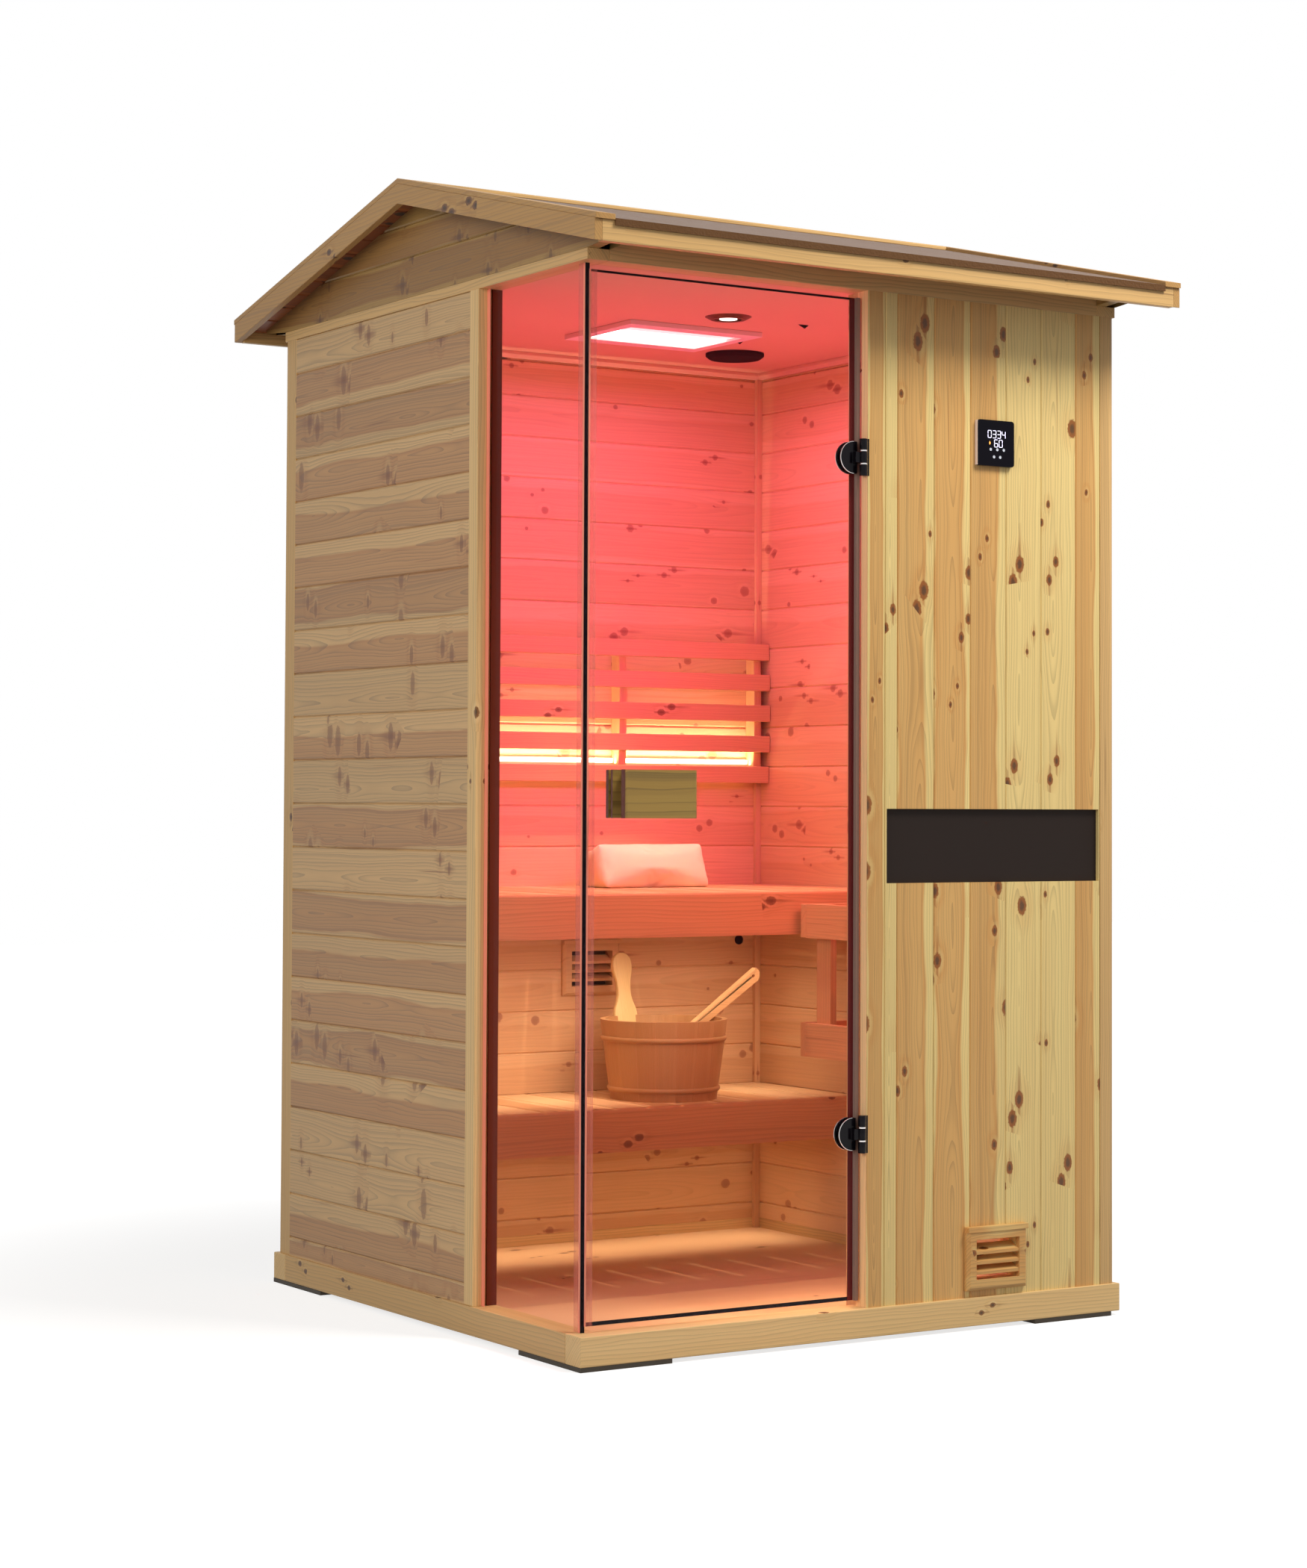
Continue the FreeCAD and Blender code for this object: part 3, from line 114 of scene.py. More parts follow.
@dataclass(frozen=True)
class Span:
    """Axis-aligned block of space.

    Attributes:
        low: Lowest corner in metres.
        high: Highest corner in metres.
    """

    low: Point
    high: Point

    @property
    def size(self) -> Vector:
        """Side lengths."""
        return Vector(self.high) - Vector(self.low)

    @property
    def centre(self) -> Vector:
        """Middle point."""
        return (Vector(self.high) + Vector(self.low)) / 2

    def ends(self, axis: Axis) -> Pair:
        """Low and high end along an axis."""
        return self.low[axis.value], self.high[axis.value]

    @staticmethod
    def of(node: str) -> "Span":
        """Read the block that a CAD node fills at rest.

        Args:
            node: Name of the CAD node.

        Returns:
            The block.
        """
        low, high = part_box(node)
        return Span(tuple(low), tuple(high))


# Shader graphs


class Graph:
    """Node graph of one material or world, built socket by socket."""

    def __init__(self, name: str, group: str = "materials") -> None:
        """Start an empty graph.

        Args:
            name: Name of the material or world.
            group: Blender's collection that it goes in.
        """
        self.owner = getattr(bpy.data, group).new(name)
        self.owner.use_nodes = True
        self.tree = self.owner.node_tree
        self.tree.nodes.clear()

    def add(self, kind: str, inputs: dict | None = None, **settings: object) -> bpy.types.Node:
        """Add a node.

        Args:
            kind: Blender's node type without the leading ShaderNode.
            inputs: Socket name or number to a value or to another node's socket.
            **settings: Properties of the node.

        Returns:
            The new node.
        """
        node = self.tree.nodes.new("ShaderNode" + kind)
        for key, value in settings.items():
            setattr(node, key, value)
        for key, value in (inputs or {}).items():
            self.feed(node.inputs[key], value)
        return node

    def feed(self, socket: Socket, value: object) -> None:
        """Give a socket a link or a value.

        Args:
            socket: Input to fill.
            value: Output socket, number or vector.
        """
        if isinstance(value, Socket):
            self.tree.links.new(value, socket)
        elif socket.type == "RGBA" and len(value) == 3:
            socket.default_value = (*value, 1.0)
        else:
            socket.default_value = value

    def math(self, how: str, *values: object, clamp: bool = False) -> Socket:
        """Combine up to three numbers by a math operation."""
        inputs = dict(enumerate((*values, 0.0, 0.0)[:3]))
        return self.add("Math", inputs, operation=how, use_clamp=clamp).outputs[0]

    def times(self, first: object, second: object, plus: object = None) -> Socket:
        """Multiply two numbers, and add a third where there is one."""
        values = (first, second) if plus is None else (first, second, plus)
        return self.math("MULTIPLY" if plus is None else "MULTIPLY_ADD", *values)

    def plus(self, first: object, second: object, clamp: bool = False) -> Socket:
        """Add two numbers."""
        return self.math("ADD", first, second, clamp=clamp)

    def band(self, value: object, start: float, end: float, low: float = 0.0, high: float = 1.0) -> Socket:
        """Map the range from start to end smoothly to the one from low to high."""
        inputs = {0: value, 1: start, 2: end, 3: low, 4: high}
        return self.add("MapRange", inputs, interpolation_type="SMOOTHSTEP", clamp=True).outputs[0]

    def mix(self, factor: object, first: object, second: object, blend: str = "MIX") -> Socket:
        """Mix two colours, the factor being the share of the second."""
        inputs = {0: factor, 6: first, 7: second}
        return self.add("Mix", inputs, data_type="RGBA", blend_type=blend).outputs[2]

    def tinted(self, colour: object, shade: object) -> Socket:
        """Multiply a colour by one brightness."""
        return self.mix(1.0, colour, self.vector(shade, shade, shade), "MULTIPLY")

    def place(self) -> Socket:
        """Place in the piece's own space."""
        return self.add("TexCoord").outputs["Object"]

    def split(self, vector: object) -> list[Socket]:
        """Parts of a vector."""
        return self.add("SeparateXYZ", {0: vector}).outputs

    def vector(self, x: object, y: object, z: object = 0.0) -> Socket:
        """Join three numbers into a vector."""
        return self.add("CombineXYZ", {0: x, 1: y, 2: z}).outputs[0]

    def stretched(self, vector: object, x: float, y: float, z: float) -> Socket:
        """Scale a vector along each axis."""
        return self.add("VectorMath", {0: vector, 1: (x, y, z)}, operation="MULTIPLY").outputs[0]

    def noise(self, vector: object, scale: float, detail: float = 2.0, rough: float = 0.5) -> Socket:
        """Soft random pattern from 0 to 1, its detail the number of finer layers and rough their weight."""
        inputs = {"Vector": vector, "Scale": scale, "Detail": detail, "Roughness": rough}
        return self.add("TexNoise", inputs).outputs["Fac"]

    def relief(self, height: object, strength: float, depth: float) -> Socket:
        """Turn a height pattern from 0 to 1 into a normal, its depth in metres."""
        return self.add("Bump", {"Strength": strength, "Distance": depth, "Height": height}).outputs[0]

    def seen(self) -> Socket:
        """Tell the rays that come from the camera, a mirror or a pane.

        Returns:
            Socket that is 1 for those rays.
        """
        path = self.add("LightPath").outputs
        direct = self.math("MAXIMUM", path["Is Camera Ray"], path["Is Glossy Ray"])
        return self.math("MAXIMUM", direct, path["Is Transmission Ray"])

    def blend(self, factor: object, first: object, second: object) -> Socket:
        """Mix two shaders."""
        return self.add("MixShader", {0: factor, 1: first, 2: second}).outputs[0]

    def end(self, shader: Socket, output: str = "OutputMaterial") -> bpy.types.ID:
        """Close the graph with its shader and give its owner."""
        self.add(output, {"Surface": shader})
        return self.owner

    def principled(self, **inputs: object) -> Material:
        """Close the graph with a principled surface, whose sockets are named with underscores for spaces."""
        named = {key.replace("_", " "): value for key, value in inputs.items()}
        return self.end(self.add("BsdfPrincipled", named).outputs[0])


# Half a board's width in metres, the edge of the heartwood in half boards, and the choice of cut
# above which a board holds no heartwood

HALF_BOARD = 0.042
HEART_EDGE = 0.72
SAP_BOARDS = 0.72


@dataclass(frozen=True)
class Wood:
    """Softwood with sapwood, heart stripes, knots and late wood lines.

    Attributes:
        name: Name of the finish.
        sap: Colour of the sapwood.
        heart: Colour of the heartwood.
        knot: Colour of the knots.
        late: Darkening by the late wood lines.
        line_pitch: Usual distance of the late wood lines in metres.
        knot_share: Share of the knot places that hold a knot.
        knot_pitch: Usual distance of the knot places in metres.
        knot_size: Usual radius of a knot in metres.
        knot_shape: Stretch of a knot along and across the grain.
        uneven: Difference between boards.
        rough: Roughness.
        relief: Strength of the grain's relief.
        streaks: Strength of the dark streaks.
        middle: Place of the heartwood's middle across a board, and its change with the board's cut.
        knot_depth: Strength of the knots' colour.
        pith: Brightness of a knot's middle against its rim.
        painted_end_shade: Colour painted on the faces across the grain as shade of the sides away from the
            light, or nothing where they look like the rest.
    """

    name: str
    sap: Colour
    heart: Colour
    knot: Colour
    late: float = 0.22
    line_pitch: float = 0.0042
    knot_share: float = 0.35
    knot_pitch: float = 0.075
    knot_size: float = 0.0052
    knot_shape: Pair = (1.0, 1.0)
    uneven: float = 0.35
    rough: float = 0.55
    relief: float = 0.35
    streaks: float = 0.35
    middle: Pair = (-0.4, 0.5)
    knot_depth: float = 0.95
    pith: float = 0.3
    painted_end_shade: Colour | None = None

    def coordinates(self, graph: Graph, grain: Grain) -> tuple:
        """Read the place in the wood.

        Args:
            graph: Graph to add to.
            grain: Source of the coordinates.

        Returns:
            Coordinates with the grain along the first, the board's tone, the place across the board
            from -1 to 1, its choice of cut, and the distance from the tree's middle plane in metres.
        """
        if grain is Grain.BOARD:
            parts = graph.split(graph.add("Attribute", attribute_name="board").outputs["Vector"])
            point = graph.add("Attribute", attribute_name="grain").outputs["Vector"]
            return point, parts[0], parts[1], parts[2], graph.times(parts[1], HALF_BOARD)
        parts = graph.split(graph.place())
        order = {Grain.X: (0, 1, 2), Grain.Y: (1, 0, 2), Grain.Z: (2, 0, 1)}[grain]
        point = graph.vector(*(parts[index] for index in order))
        tone = graph.noise(graph.stretched(point, 0.6, 2.0, 2.0), 2.3, 1.0)
        aside = graph.times(parts[order[2]], 0.8, graph.plus(parts[order[1]], 1.3))
        return point, tone, graph.times(tone, 2.0, -1.0), 0.5, aside

    def knots(self, graph: Graph, point: object) -> tuple:
        """Scatter oval knots, some of them twins.

        Args:
            graph: Graph to add to.
            point: Coordinates with the grain along the first.

        Returns:
            Distance from the nearest knot in its own radii, whether it is there, the way from it along
            and across in its radii, its own chance, and its radius in metres.
        """
        parts = graph.split(point)
        wide = graph.plus(parts[1], parts[2])
        place = graph.vector(graph.times(parts[0], 0.8 / self.knot_pitch),
                             graph.times(wide, 1.05 / self.knot_pitch))
        cells = graph.add("TexVoronoi", {"Vector": place, "Scale": 1.0, "Randomness": 0.75},
                          voronoi_dimensions="2D").outputs
        chance = graph.add("SeparateColor", {0: cells["Color"]}).outputs
        present = graph.math("LESS_THAN", chance[0], self.knot_share)
        size = graph.times(chance[1], 1.1 * self.knot_size, 0.5 * self.knot_size)
        away = graph.add("VectorMath", {0: place, 1: cells["Position"]}, operation="SUBTRACT").outputs[0]
        offset = graph.split(away)
        near = []
        for shift in ((0.0, 0.0), (0.28, 0.17)):
            ways = []
            for index, scale in enumerate((1.15, 1.05)):
                cell = graph.plus(offset[index], shift[index])
                metres = graph.times(cell, self.knot_pitch / scale)
                ways.append(graph.math("DIVIDE", metres, graph.times(size, self.knot_shape[index])))
            square = graph.times(ways[0], ways[0], graph.times(ways[1], ways[1]))
            near.append((graph.math("SQRT", square), *ways))
        twin = graph.times(graph.math("LESS_THAN", near[1][0], near[0][0]),
                           graph.math("GREATER_THAN", chance[2], 0.35))
        reach, along, across = (
            graph.times(graph.math("SUBTRACT", second, first), twin, first)
            for first, second in zip(*near))
        ratio = graph.times(graph.noise(point, 190.0, 1.0), 0.5, graph.math("SUBTRACT", reach, 0.2))
        return ratio, present, along, across, chance[2], size

    def material(self, grain: Grain) -> Material:
        """Build the material.

        Args:
            grain: Source of the grain's coordinates.

        Returns:
            The material.
        """
        graph = Graph(f"{self.name}_{grain.value}")
        times, plus, band, mix = graph.times, graph.plus, graph.band, graph.mix
        point, tone, across, cut, aside = self.coordinates(graph, grain)
        ratio, present, near_along, near_across, chance, size = self.knots(graph, point)
        aslant = graph.math("ABSOLUTE", near_across)
        core = times(band(ratio, 1.3, 1.02), present)
        halo = times(band(ratio, 4.2, 1.0), present)
        tail = times(band(aslant, 0.55, 0.1), band(graph.math("ABSOLUTE", near_along), 7.0, 1.0))
        tail = times(times(tail, present), band(chance, 0.35, 0.7, 0.0, 0.55))
        slow = graph.noise(graph.stretched(point, 1.0, 0.0, 0.0), 1.6, 1.0)
        wander = graph.noise(graph.stretched(point, 1.0, 5.0, 5.0), 3.2, 3.0, 0.45)
        side = graph.math("DIVIDE", near_across, plus(aslant, 0.5))
        push = times(times(side, halo), times(size, -0.9))
        bent = plus(plus(aside, push), times(cut, 0.03, -0.015))
        depth = times(slow, 0.11, -0.05)
        radius = graph.math("SQRT", times(bent, bent, times(depth, depth)))
        radius = times(wander, 0.022, radius)
        drift = graph.noise(graph.vector(times(radius, 140.0), cut), 1.0, 1.0)
        turns = plus(graph.math("DIVIDE", radius, self.line_pitch), times(drift, 1.8))
        late = graph.math("POWER", graph.math("FRACT", turns), 2.4)
        fibre = graph.noise(graph.stretched(point, 7.0, 520.0, 520.0), 1.0, 2.0, 0.6)
        cloud = graph.noise(graph.stretched(point, 1.2, 18.0, 18.0), 1.0)
        middle = times(cut, self.middle[1], self.middle[0])
        reach = graph.math("ABSOLUTE", graph.math("SUBTRACT", across, middle))
        reach = times(wander, 0.8, times(slow, 0.5, reach))
        reach = plus(reach, band(cut, SAP_BOARDS, SAP_BOARDS + 0.02, -0.65, 0.5))
        heart = band(reach, 0.9, HEART_EDGE)
        rim = graph.math("ABSOLUTE", graph.math("SUBTRACT", reach, HEART_EDGE))
        warm = times(cloud, 0.5, times(heart, 0.8, -0.2))
        warm = plus(warm, band(rim, 0.1, 0.0, 0.0, 0.3))
        warm = plus(warm, times(halo, 0.3), clamp=True)
        shade = times(tone, self.uneven, 1.0 - self.uneven * 0.55)
        shade = times(shade, times(late, -self.late, 1.0 + self.late * 0.25))
        base = graph.tinted(mix(warm, self.sap, self.heart), times(shade, times(fibre, 0.2, 0.9)))
        pale = times(band(ratio, 2.4, 1.4), band(side, 0.1, 0.8, 0.12, 0.4))
        base = mix(times(pale, present), base, self.sap)
        streak = graph.noise(graph.stretched(point, 2.6, 120.0, 120.0), 1.0, 1.0)
        base = mix(band(streak, 0.7, 0.84, 0.0, self.streaks), base, self.knot)
        base = mix(tail, base, self.knot)
        dark = mix(band(ratio, 0.4, 0.85), tuple(part * self.pith for part in self.knot), self.knot)
        base = mix(times(core, self.knot_depth), base, dark)
        # Faces across the grain get a darker colour here: painted shade.
        if self.painted_end_shade:
            facing = graph.split(graph.add("TexCoord").outputs["Normal"])["XYZ".index(grain.value)]
            base = mix(band(graph.math("ABSOLUTE", facing), 0.6, 0.9), base, self.painted_end_shade)
        height = times(core, -0.4, times(late, -0.5, times(fibre, 0.35)))
        return graph.principled(Base_Color=base, Roughness=times(late, -0.08, self.rough),
                                Normal=graph.relief(height, self.relief, 0.0004))


@dataclass(frozen=True)
class Gloss:
    """Smooth plastic, metal or lacquer with faint unevenness.

    Attributes:
        name: Name of the finish.
        colour: Base colour.
        rough: Roughness.
        metal: Share of metal.
        grit: Size of the surface's grit in metres, or 0.
        shine: Strength of the plain reflection.
    """

    name: str
    colour: Colour
    rough: float = 0.4
    metal: float = 0.0
    grit: float = 0.0
    shine: float = 0.5

    def material(self) -> Material:
        """Build the material.

        Returns:
            The material.
        """
        graph = Graph(self.name)
        place = graph.place()
        smear = graph.noise(place, 18.0, 3.0)
        rough = graph.math("MULTIPLY_ADD", smear, 0.12, self.rough - 0.06, clamp=True)
        inputs = {"Base_Color": graph.tinted(self.colour, graph.times(smear, 0.12, 0.94)),
                  "Roughness": rough, "Metallic": self.metal, "Specular_IOR_Level": self.shine}
        if self.grit:
            inputs["Normal"] = graph.relief(graph.noise(place, 1 / self.grit), 0.4, self.grit)
        return graph.principled(**inputs)


@dataclass(frozen=True)
class Pane:
    """Thin clear toughened glass.

    Attributes:
        name: Name of the finish.
        tint: Colour of the light that passes.
        mirror: Strength of the reflection.
        haze: Share of the light that the front face scatters.
        veil: Colour of the scattered light.
    """

    name: str
    tint: Colour
    mirror: float = 0.1
    haze: float = 0.0
    veil: Colour = (0.85, 0.24, 0.2)

    def material(self) -> Material:
        """Build the material, which mirrors and scatters on faces seen from outside only.

        Returns:
            The material.
        """
        graph = Graph(self.name)
        clear = graph.add("BsdfTransparent", {"Color": self.tint}).outputs[0]
        rough = graph.times(graph.noise(graph.place(), 3.0, 3.0), 0.03, 0.0)
        shine = graph.add("BsdfGlossy", {"Color": WHITE, "Roughness": rough}).outputs[0]
        share = graph.times(graph.add("Fresnel", {"IOR": 1.45}).outputs[0], self.mirror)
        front = graph.math("SUBTRACT", 1.0, graph.add("NewGeometry").outputs["Backfacing"])
        if self.haze:
            veil = graph.add("BsdfDiffuse", {"Color": self.veil}).outputs[0]
            clear = graph.blend(graph.times(front, self.haze), clear, veil)
        return graph.end(graph.blend(graph.times(share, front), clear, shine))


@dataclass(frozen=True)
class Glow:
    """Lit surface.

    Attributes:
        name: Name of the finish.
        colour: Colour of the light.
        strength: Brightness, where 1 is white.
        dots: Distance of its lamps in metres, or 0 for an even surface.
        plain_from: Place along Y behind which the lamps don't show.
    """

    name: str
    colour: Colour
    strength: float
    dots: float = 0.0
    plain_from: float = 0.0

    def material(self) -> Material:
        """Build the material.

        Returns:
            The material.
        """
        graph = Graph(self.name)
        strength: object = self.strength
        if self.dots:
            place = graph.place()
            inputs = {"Vector": place, "Scale": 1 / self.dots, "Randomness": 0.15}
            away = graph.add("TexVoronoi", inputs).outputs["Distance"]
            spots = graph.band(away, 0.2, 0.42, self.strength * 0.34, self.strength * 0.18)
            depth = graph.split(place)[1]
            plain = graph.band(depth, self.plain_from - 0.008, self.plain_from, 0.0, self.strength)
            strength = graph.math("MAXIMUM", spots, plain)
        return graph.principled(Base_Color=self.colour, Roughness=0.3, Emission_Color=self.colour,
                                Emission_Strength=strength)


@dataclass(frozen=True)
class Weave:
    """Woven cloth.

    Attributes:
        name: Name of the finish.
        colour: Base colour.
        thread: Distance of the threads in metres.
    """

    name: str
    colour: Colour
    thread: float = 0.0014

    def material(self) -> Material:
        """Build the material.

        Returns:
            The material.
        """
        graph = Graph(self.name)
        place = graph.place()
        parts = graph.split(place)
        slope = graph.plus(parts[1], parts[2])
        turns = 2 * math.pi / self.thread
        warp, weft = (graph.math("SINE", graph.times(way, turns)) for way in (parts[0], slope))
        weave = graph.times(graph.times(warp, weft), 0.5, 0.5)
        height = graph.times(graph.noise(place, 900.0), 0.6, weave)
        base = graph.tinted(self.colour, graph.times(height, 0.09, 0.9))
        return graph.principled(Base_Color=base, Roughness=0.92, Sheen_Weight=0.3,
                                Normal=graph.relief(height, 0.5, 0.0005))


@cache
def finish(look: Wood | Gloss | Pane | Glow | Weave, grain: Grain | None = None) -> Material:
    """Build a finish's material once.

    Args:
        look: The finish.
        grain: Source of a wood's grain coordinates.

    Returns:
        The material.
    """
    return look.material(grain) if grain else look.material()


# Wood of the side and back walls, darker than the front wall's: partly its own greyer tone, partly painted
# shade of the side away from the light.
SIDE_WALL_PART_SHADED = Wood(
    "side_wall_wood_part_shade", srgb(204, 169, 122), srgb(174, 130, 90), srgb(118, 72, 52), late=0.42,
    line_pitch=0.0058, knot_share=0.36, knot_size=0.0056, knot_shape=(0.8, 3.0), knot_pitch=0.1,
    uneven=0.16, streaks=0.75, middle=(-0.85, 1.7), knot_depth=0.56, pith=0.7)
# Darker copy of the side wall wood: painted shade of the roof's overhang on the gables.
SHADED_GABLE_WOOD = Wood(
    "gable_wood_painted_shade", srgb(160, 126, 72), srgb(136, 97, 52), srgb(80, 48, 34), late=0.34,
    line_pitch=0.006, knot_share=0.4, knot_shape=(0.8, 2.6), knot_pitch=0.09,
    uneven=0.16, streaks=0.45, middle=(-0.85, 1.7), knot_depth=0.5, pith=0.8)
FRONT_WALL = Wood(
    "front_wall_wood", srgb(228, 202, 136), srgb(202, 152, 90), srgb(138, 76, 26), late=0.3,
    line_pitch=0.0062, knot_share=0.42, knot_size=0.0062, knot_shape=(1.15, 1.0), knot_pitch=0.1,
    uneven=0.1)
EDGE_WOOD = Wood(
    "edge_wood", srgb(202, 166, 108), srgb(172, 130, 78), srgb(100, 64, 38), late=0.28,
    line_pitch=0.006, knot_share=0.14, uneven=0.16)
BASE_WOOD = Wood(
    "base_wood", srgb(242, 214, 160), srgb(222, 184, 126), srgb(130, 84, 44), late=0.26,
    line_pitch=0.006, knot_share=0.16, uneven=0.12)
FRAME_WOOD = Wood(
    "frame_wood", srgb(226, 192, 136), srgb(200, 160, 104), srgb(108, 70, 38), late=0.32,
    line_pitch=0.006, knot_share=0.2, uneven=0.16, streaks=0.6)
INNER_WALL = Wood(
    "inner_wall_wood", srgb(224, 180, 134), srgb(214, 166, 120), srgb(150, 80, 60), late=0.12,
    line_pitch=0.0075, knot_share=0.26, knot_shape=(0.9, 1.2), uneven=0.1, relief=0.2,
    streaks=0.25, middle=(-0.85, 1.7), knot_depth=0.6, pith=0.7)
BENCH_WOOD = Wood(
    "bench_wood", srgb(228, 186, 136), srgb(208, 154, 102), srgb(128, 72, 42), late=0.16,
    knot_share=0.1, uneven=0.16, relief=0.2, knot_depth=0.8, pith=0.6)
APRON_WOOD = Wood(
    "apron_wood", srgb(226, 168, 120), srgb(202, 138, 92), srgb(120, 62, 36), late=0.2,
    line_pitch=0.006, knot_share=0.14, uneven=0.12, relief=0.2, knot_depth=0.8, pith=0.6)
FLOOR_WOOD = Wood(
    "floor_wood", srgb(228, 188, 146), srgb(212, 168, 124), srgb(132, 86, 54), late=0.1,
    knot_share=0.06, uneven=0.08, rough=0.5)
CEILING_WOOD = Wood(
    "ceiling_wood", srgb(218, 172, 142), srgb(212, 164, 134), srgb(180, 130, 80), late=0.03,
    knot_share=0.0, uneven=0.04, rough=0.6, streaks=0.0)
# The handle's faces across the grain are darkened: painted shade of its sides.
HANDLE_WOOD = Wood(
    "handle_wood", srgb(172, 146, 78), srgb(140, 110, 54), srgb(66, 44, 22), late=0.5,
    line_pitch=0.016, knot_share=0.0, uneven=0.1, painted_end_shade=srgb(84, 34, 20))
BUCKET_WOOD = Wood(
    "bucket_wood", srgb(190, 140, 92), srgb(184, 134, 86), srgb(120, 66, 34), late=0.12,
    line_pitch=0.004, knot_share=0.0, uneven=0.03, streaks=0.0)
PALE_WOOD = Wood(
    "pale_wood", srgb(244, 216, 158), srgb(236, 200, 138), srgb(150, 100, 60), late=0.12,
    line_pitch=0.004, knot_share=0.0, uneven=0.06, streaks=0.0)
LINING_WOOD = Wood(
    "lining_wood", srgb(255, 222, 170), srgb(250, 206, 152), srgb(160, 96, 60), late=0.16,
    line_pitch=0.006, knot_share=0.14, uneven=0.1)
SOFFIT_WOOD = Wood(
    "soffit_wood", srgb(150, 80, 28), srgb(122, 60, 20), srgb(62, 34, 18), late=0.26,
    line_pitch=0.008, knot_share=0.3, uneven=0.24)
BLACK_GLASS = Gloss("black_glass", srgb(14, 12, 20), 0.15, shine=0.06)
INSET_PANEL = Gloss("inset_panel_black", srgb(42, 34, 31), 0.6, shine=0.12)
PAD_PLASTIC = Gloss("pad_plastic", srgb(58, 50, 40), 0.7, grit=0.002)
ROOF_SKIN = Gloss("roof_skin", srgb(98, 68, 42), 0.42, grit=0.004, shine=0.16)
HINGE_CHROME = Gloss("hinge_chrome", srgb(16, 13, 18), 0.14, shine=0.12)
BRIGHT_CHROME = Gloss("bright_chrome", srgb(214, 210, 208), 0.14, metal=1.0)
DARK_EDGE = Gloss("dark_edge", srgb(22, 18, 24), 0.3, shine=0.1)
PALE_EDGE = Gloss("pale_edge", srgb(250, 152, 128), 0.4, shine=0.1)
# Dark red-brown of the post's face behind the pane: painted shade.
POST_SHADE_PAINT = Gloss("painted_post_shade", srgb(104, 40, 26), 0.6, shine=0.1)
MAROON_SEAL = Gloss("maroon_seal", srgb(110, 34, 32), 0.35, shine=0.06)
GREY_SEAL = Gloss("grey_seal", srgb(150, 124, 114), 0.4, shine=0.1)
LAMP_FRAME = Gloss("lamp_frame", srgb(232, 214, 206), 0.4)
LAMP_BRONZE = Gloss("lamp_bronze", srgb(92, 52, 42), 0.35, metal=0.7)
SPEAKER_BLACK = Gloss("speaker_black", srgb(46, 12, 18), 0.8, grit=0.0015, shine=0.03)
# Dark brown of the plate behind the back vent: painted shade.
VENT_SHADE_PAINT = Gloss("painted_vent_shade", srgb(92, 66, 52), 0.9, shine=0.05)
CLEAR_GLASS = Pane("clear_glass", (0.97, 0.965, 0.96))
CLEAR_SEAL = Pane("clear_seal", (0.98, 0.96, 0.95), 0.06)
SEAL_FILM = Pane("seal_film", (0.97, 0.95, 0.95), 0.06, 0.36)
LAMP_LENS = Glow("lamp_lens", (1.0, 0.94, 0.91), 4.0, dots=0.0125, plain_from=0.13)
SPOT_LENS = Glow("spot_lens", (1.0, 0.94, 0.86), 3.0)
WARM_STRIP = Glow("warm_strip", (1.0, 0.88, 0.68), 2.6)
DIGIT_GLOW = Glow("digit_glow", (0.8, 0.78, 1.0), 1.0)
KEY_GLOW = Glow("key_glow", (0.62, 0.66, 0.74), 0.12)
FLAME_GLOW = Glow("flame_glow", (1.0, 0.42, 0.08), 1.0)
PILLOW_CLOTH = Weave("pillow_cloth", srgb(246, 236, 184))


# Modelling


def mode(name: str) -> None:
    """Switch between EDIT and OBJECT mode."""
    bpy.ops.object.mode_set(mode=name)


def activate(thing: Thing) -> None:
    """Make one object the only selected and the active one.

    Args:
        thing: The object.
    """
    bpy.ops.object.select_all(action="DESELECT")
    thing.select_set(True)
    bpy.context.view_layer.objects.active = thing


def settle(name: str) -> Thing:
    """Name the object just made and put its place into its mesh.

    Args:
        name: New name.

    Returns:
        The object.
    """
    made = bpy.context.active_object
    activate(made)
    bpy.ops.object.transform_apply(location=True, rotation=True, scale=True)
    made.name = name
    return made


def pick(thing: Thing, kind: str, parts: str, wanted: Callable[[object], bool]) -> None:
    """Select the parts of a mesh that a test picks, and stay in edit mode.

    Args:
        thing: Object to edit.
        kind: Kind of part for Blender.
        parts: Name of the mesh's own list of them.
        wanted: Test of one part.
    """
    activate(thing)
    mode("EDIT")
    bpy.ops.mesh.select_mode(type=kind)
    bpy.ops.mesh.select_all(action="DESELECT")
    mode("OBJECT")
    for part in getattr(thing.data, parts):
        part.select = wanted(part)
    mode("EDIT")


def bevel(thing: Thing, wanted: Callable[[Vector, Vector], bool], width: float, segments: int = 1) -> None:
    """Bevel the edges that a test of their ends picks.

    Args:
        thing: Object to change.
        wanted: Test of an edge's two ends.
        width: Width of the bevel in metres.
        segments: Steps of the bevel.
    """
    points = [point.co.copy() for point in thing.data.vertices]
    pick(thing, "EDGE", "edges", lambda edge: wanted(*(points[index] for index in edge.vertices)))
    bpy.ops.mesh.bevel(offset=width, offset_type="OFFSET", segments=segments, affect="EDGES")
    mode("OBJECT")


def block(span: Span) -> Thing:
    """Model a block.

    Args:
        span: Space that it fills.

    Returns:
        The object.
    """
    bpy.ops.object.select_all(action="DESELECT")
    bpy.ops.mesh.primitive_cube_add(size=1.0, location=span.centre, scale=span.size)
    return settle("block")


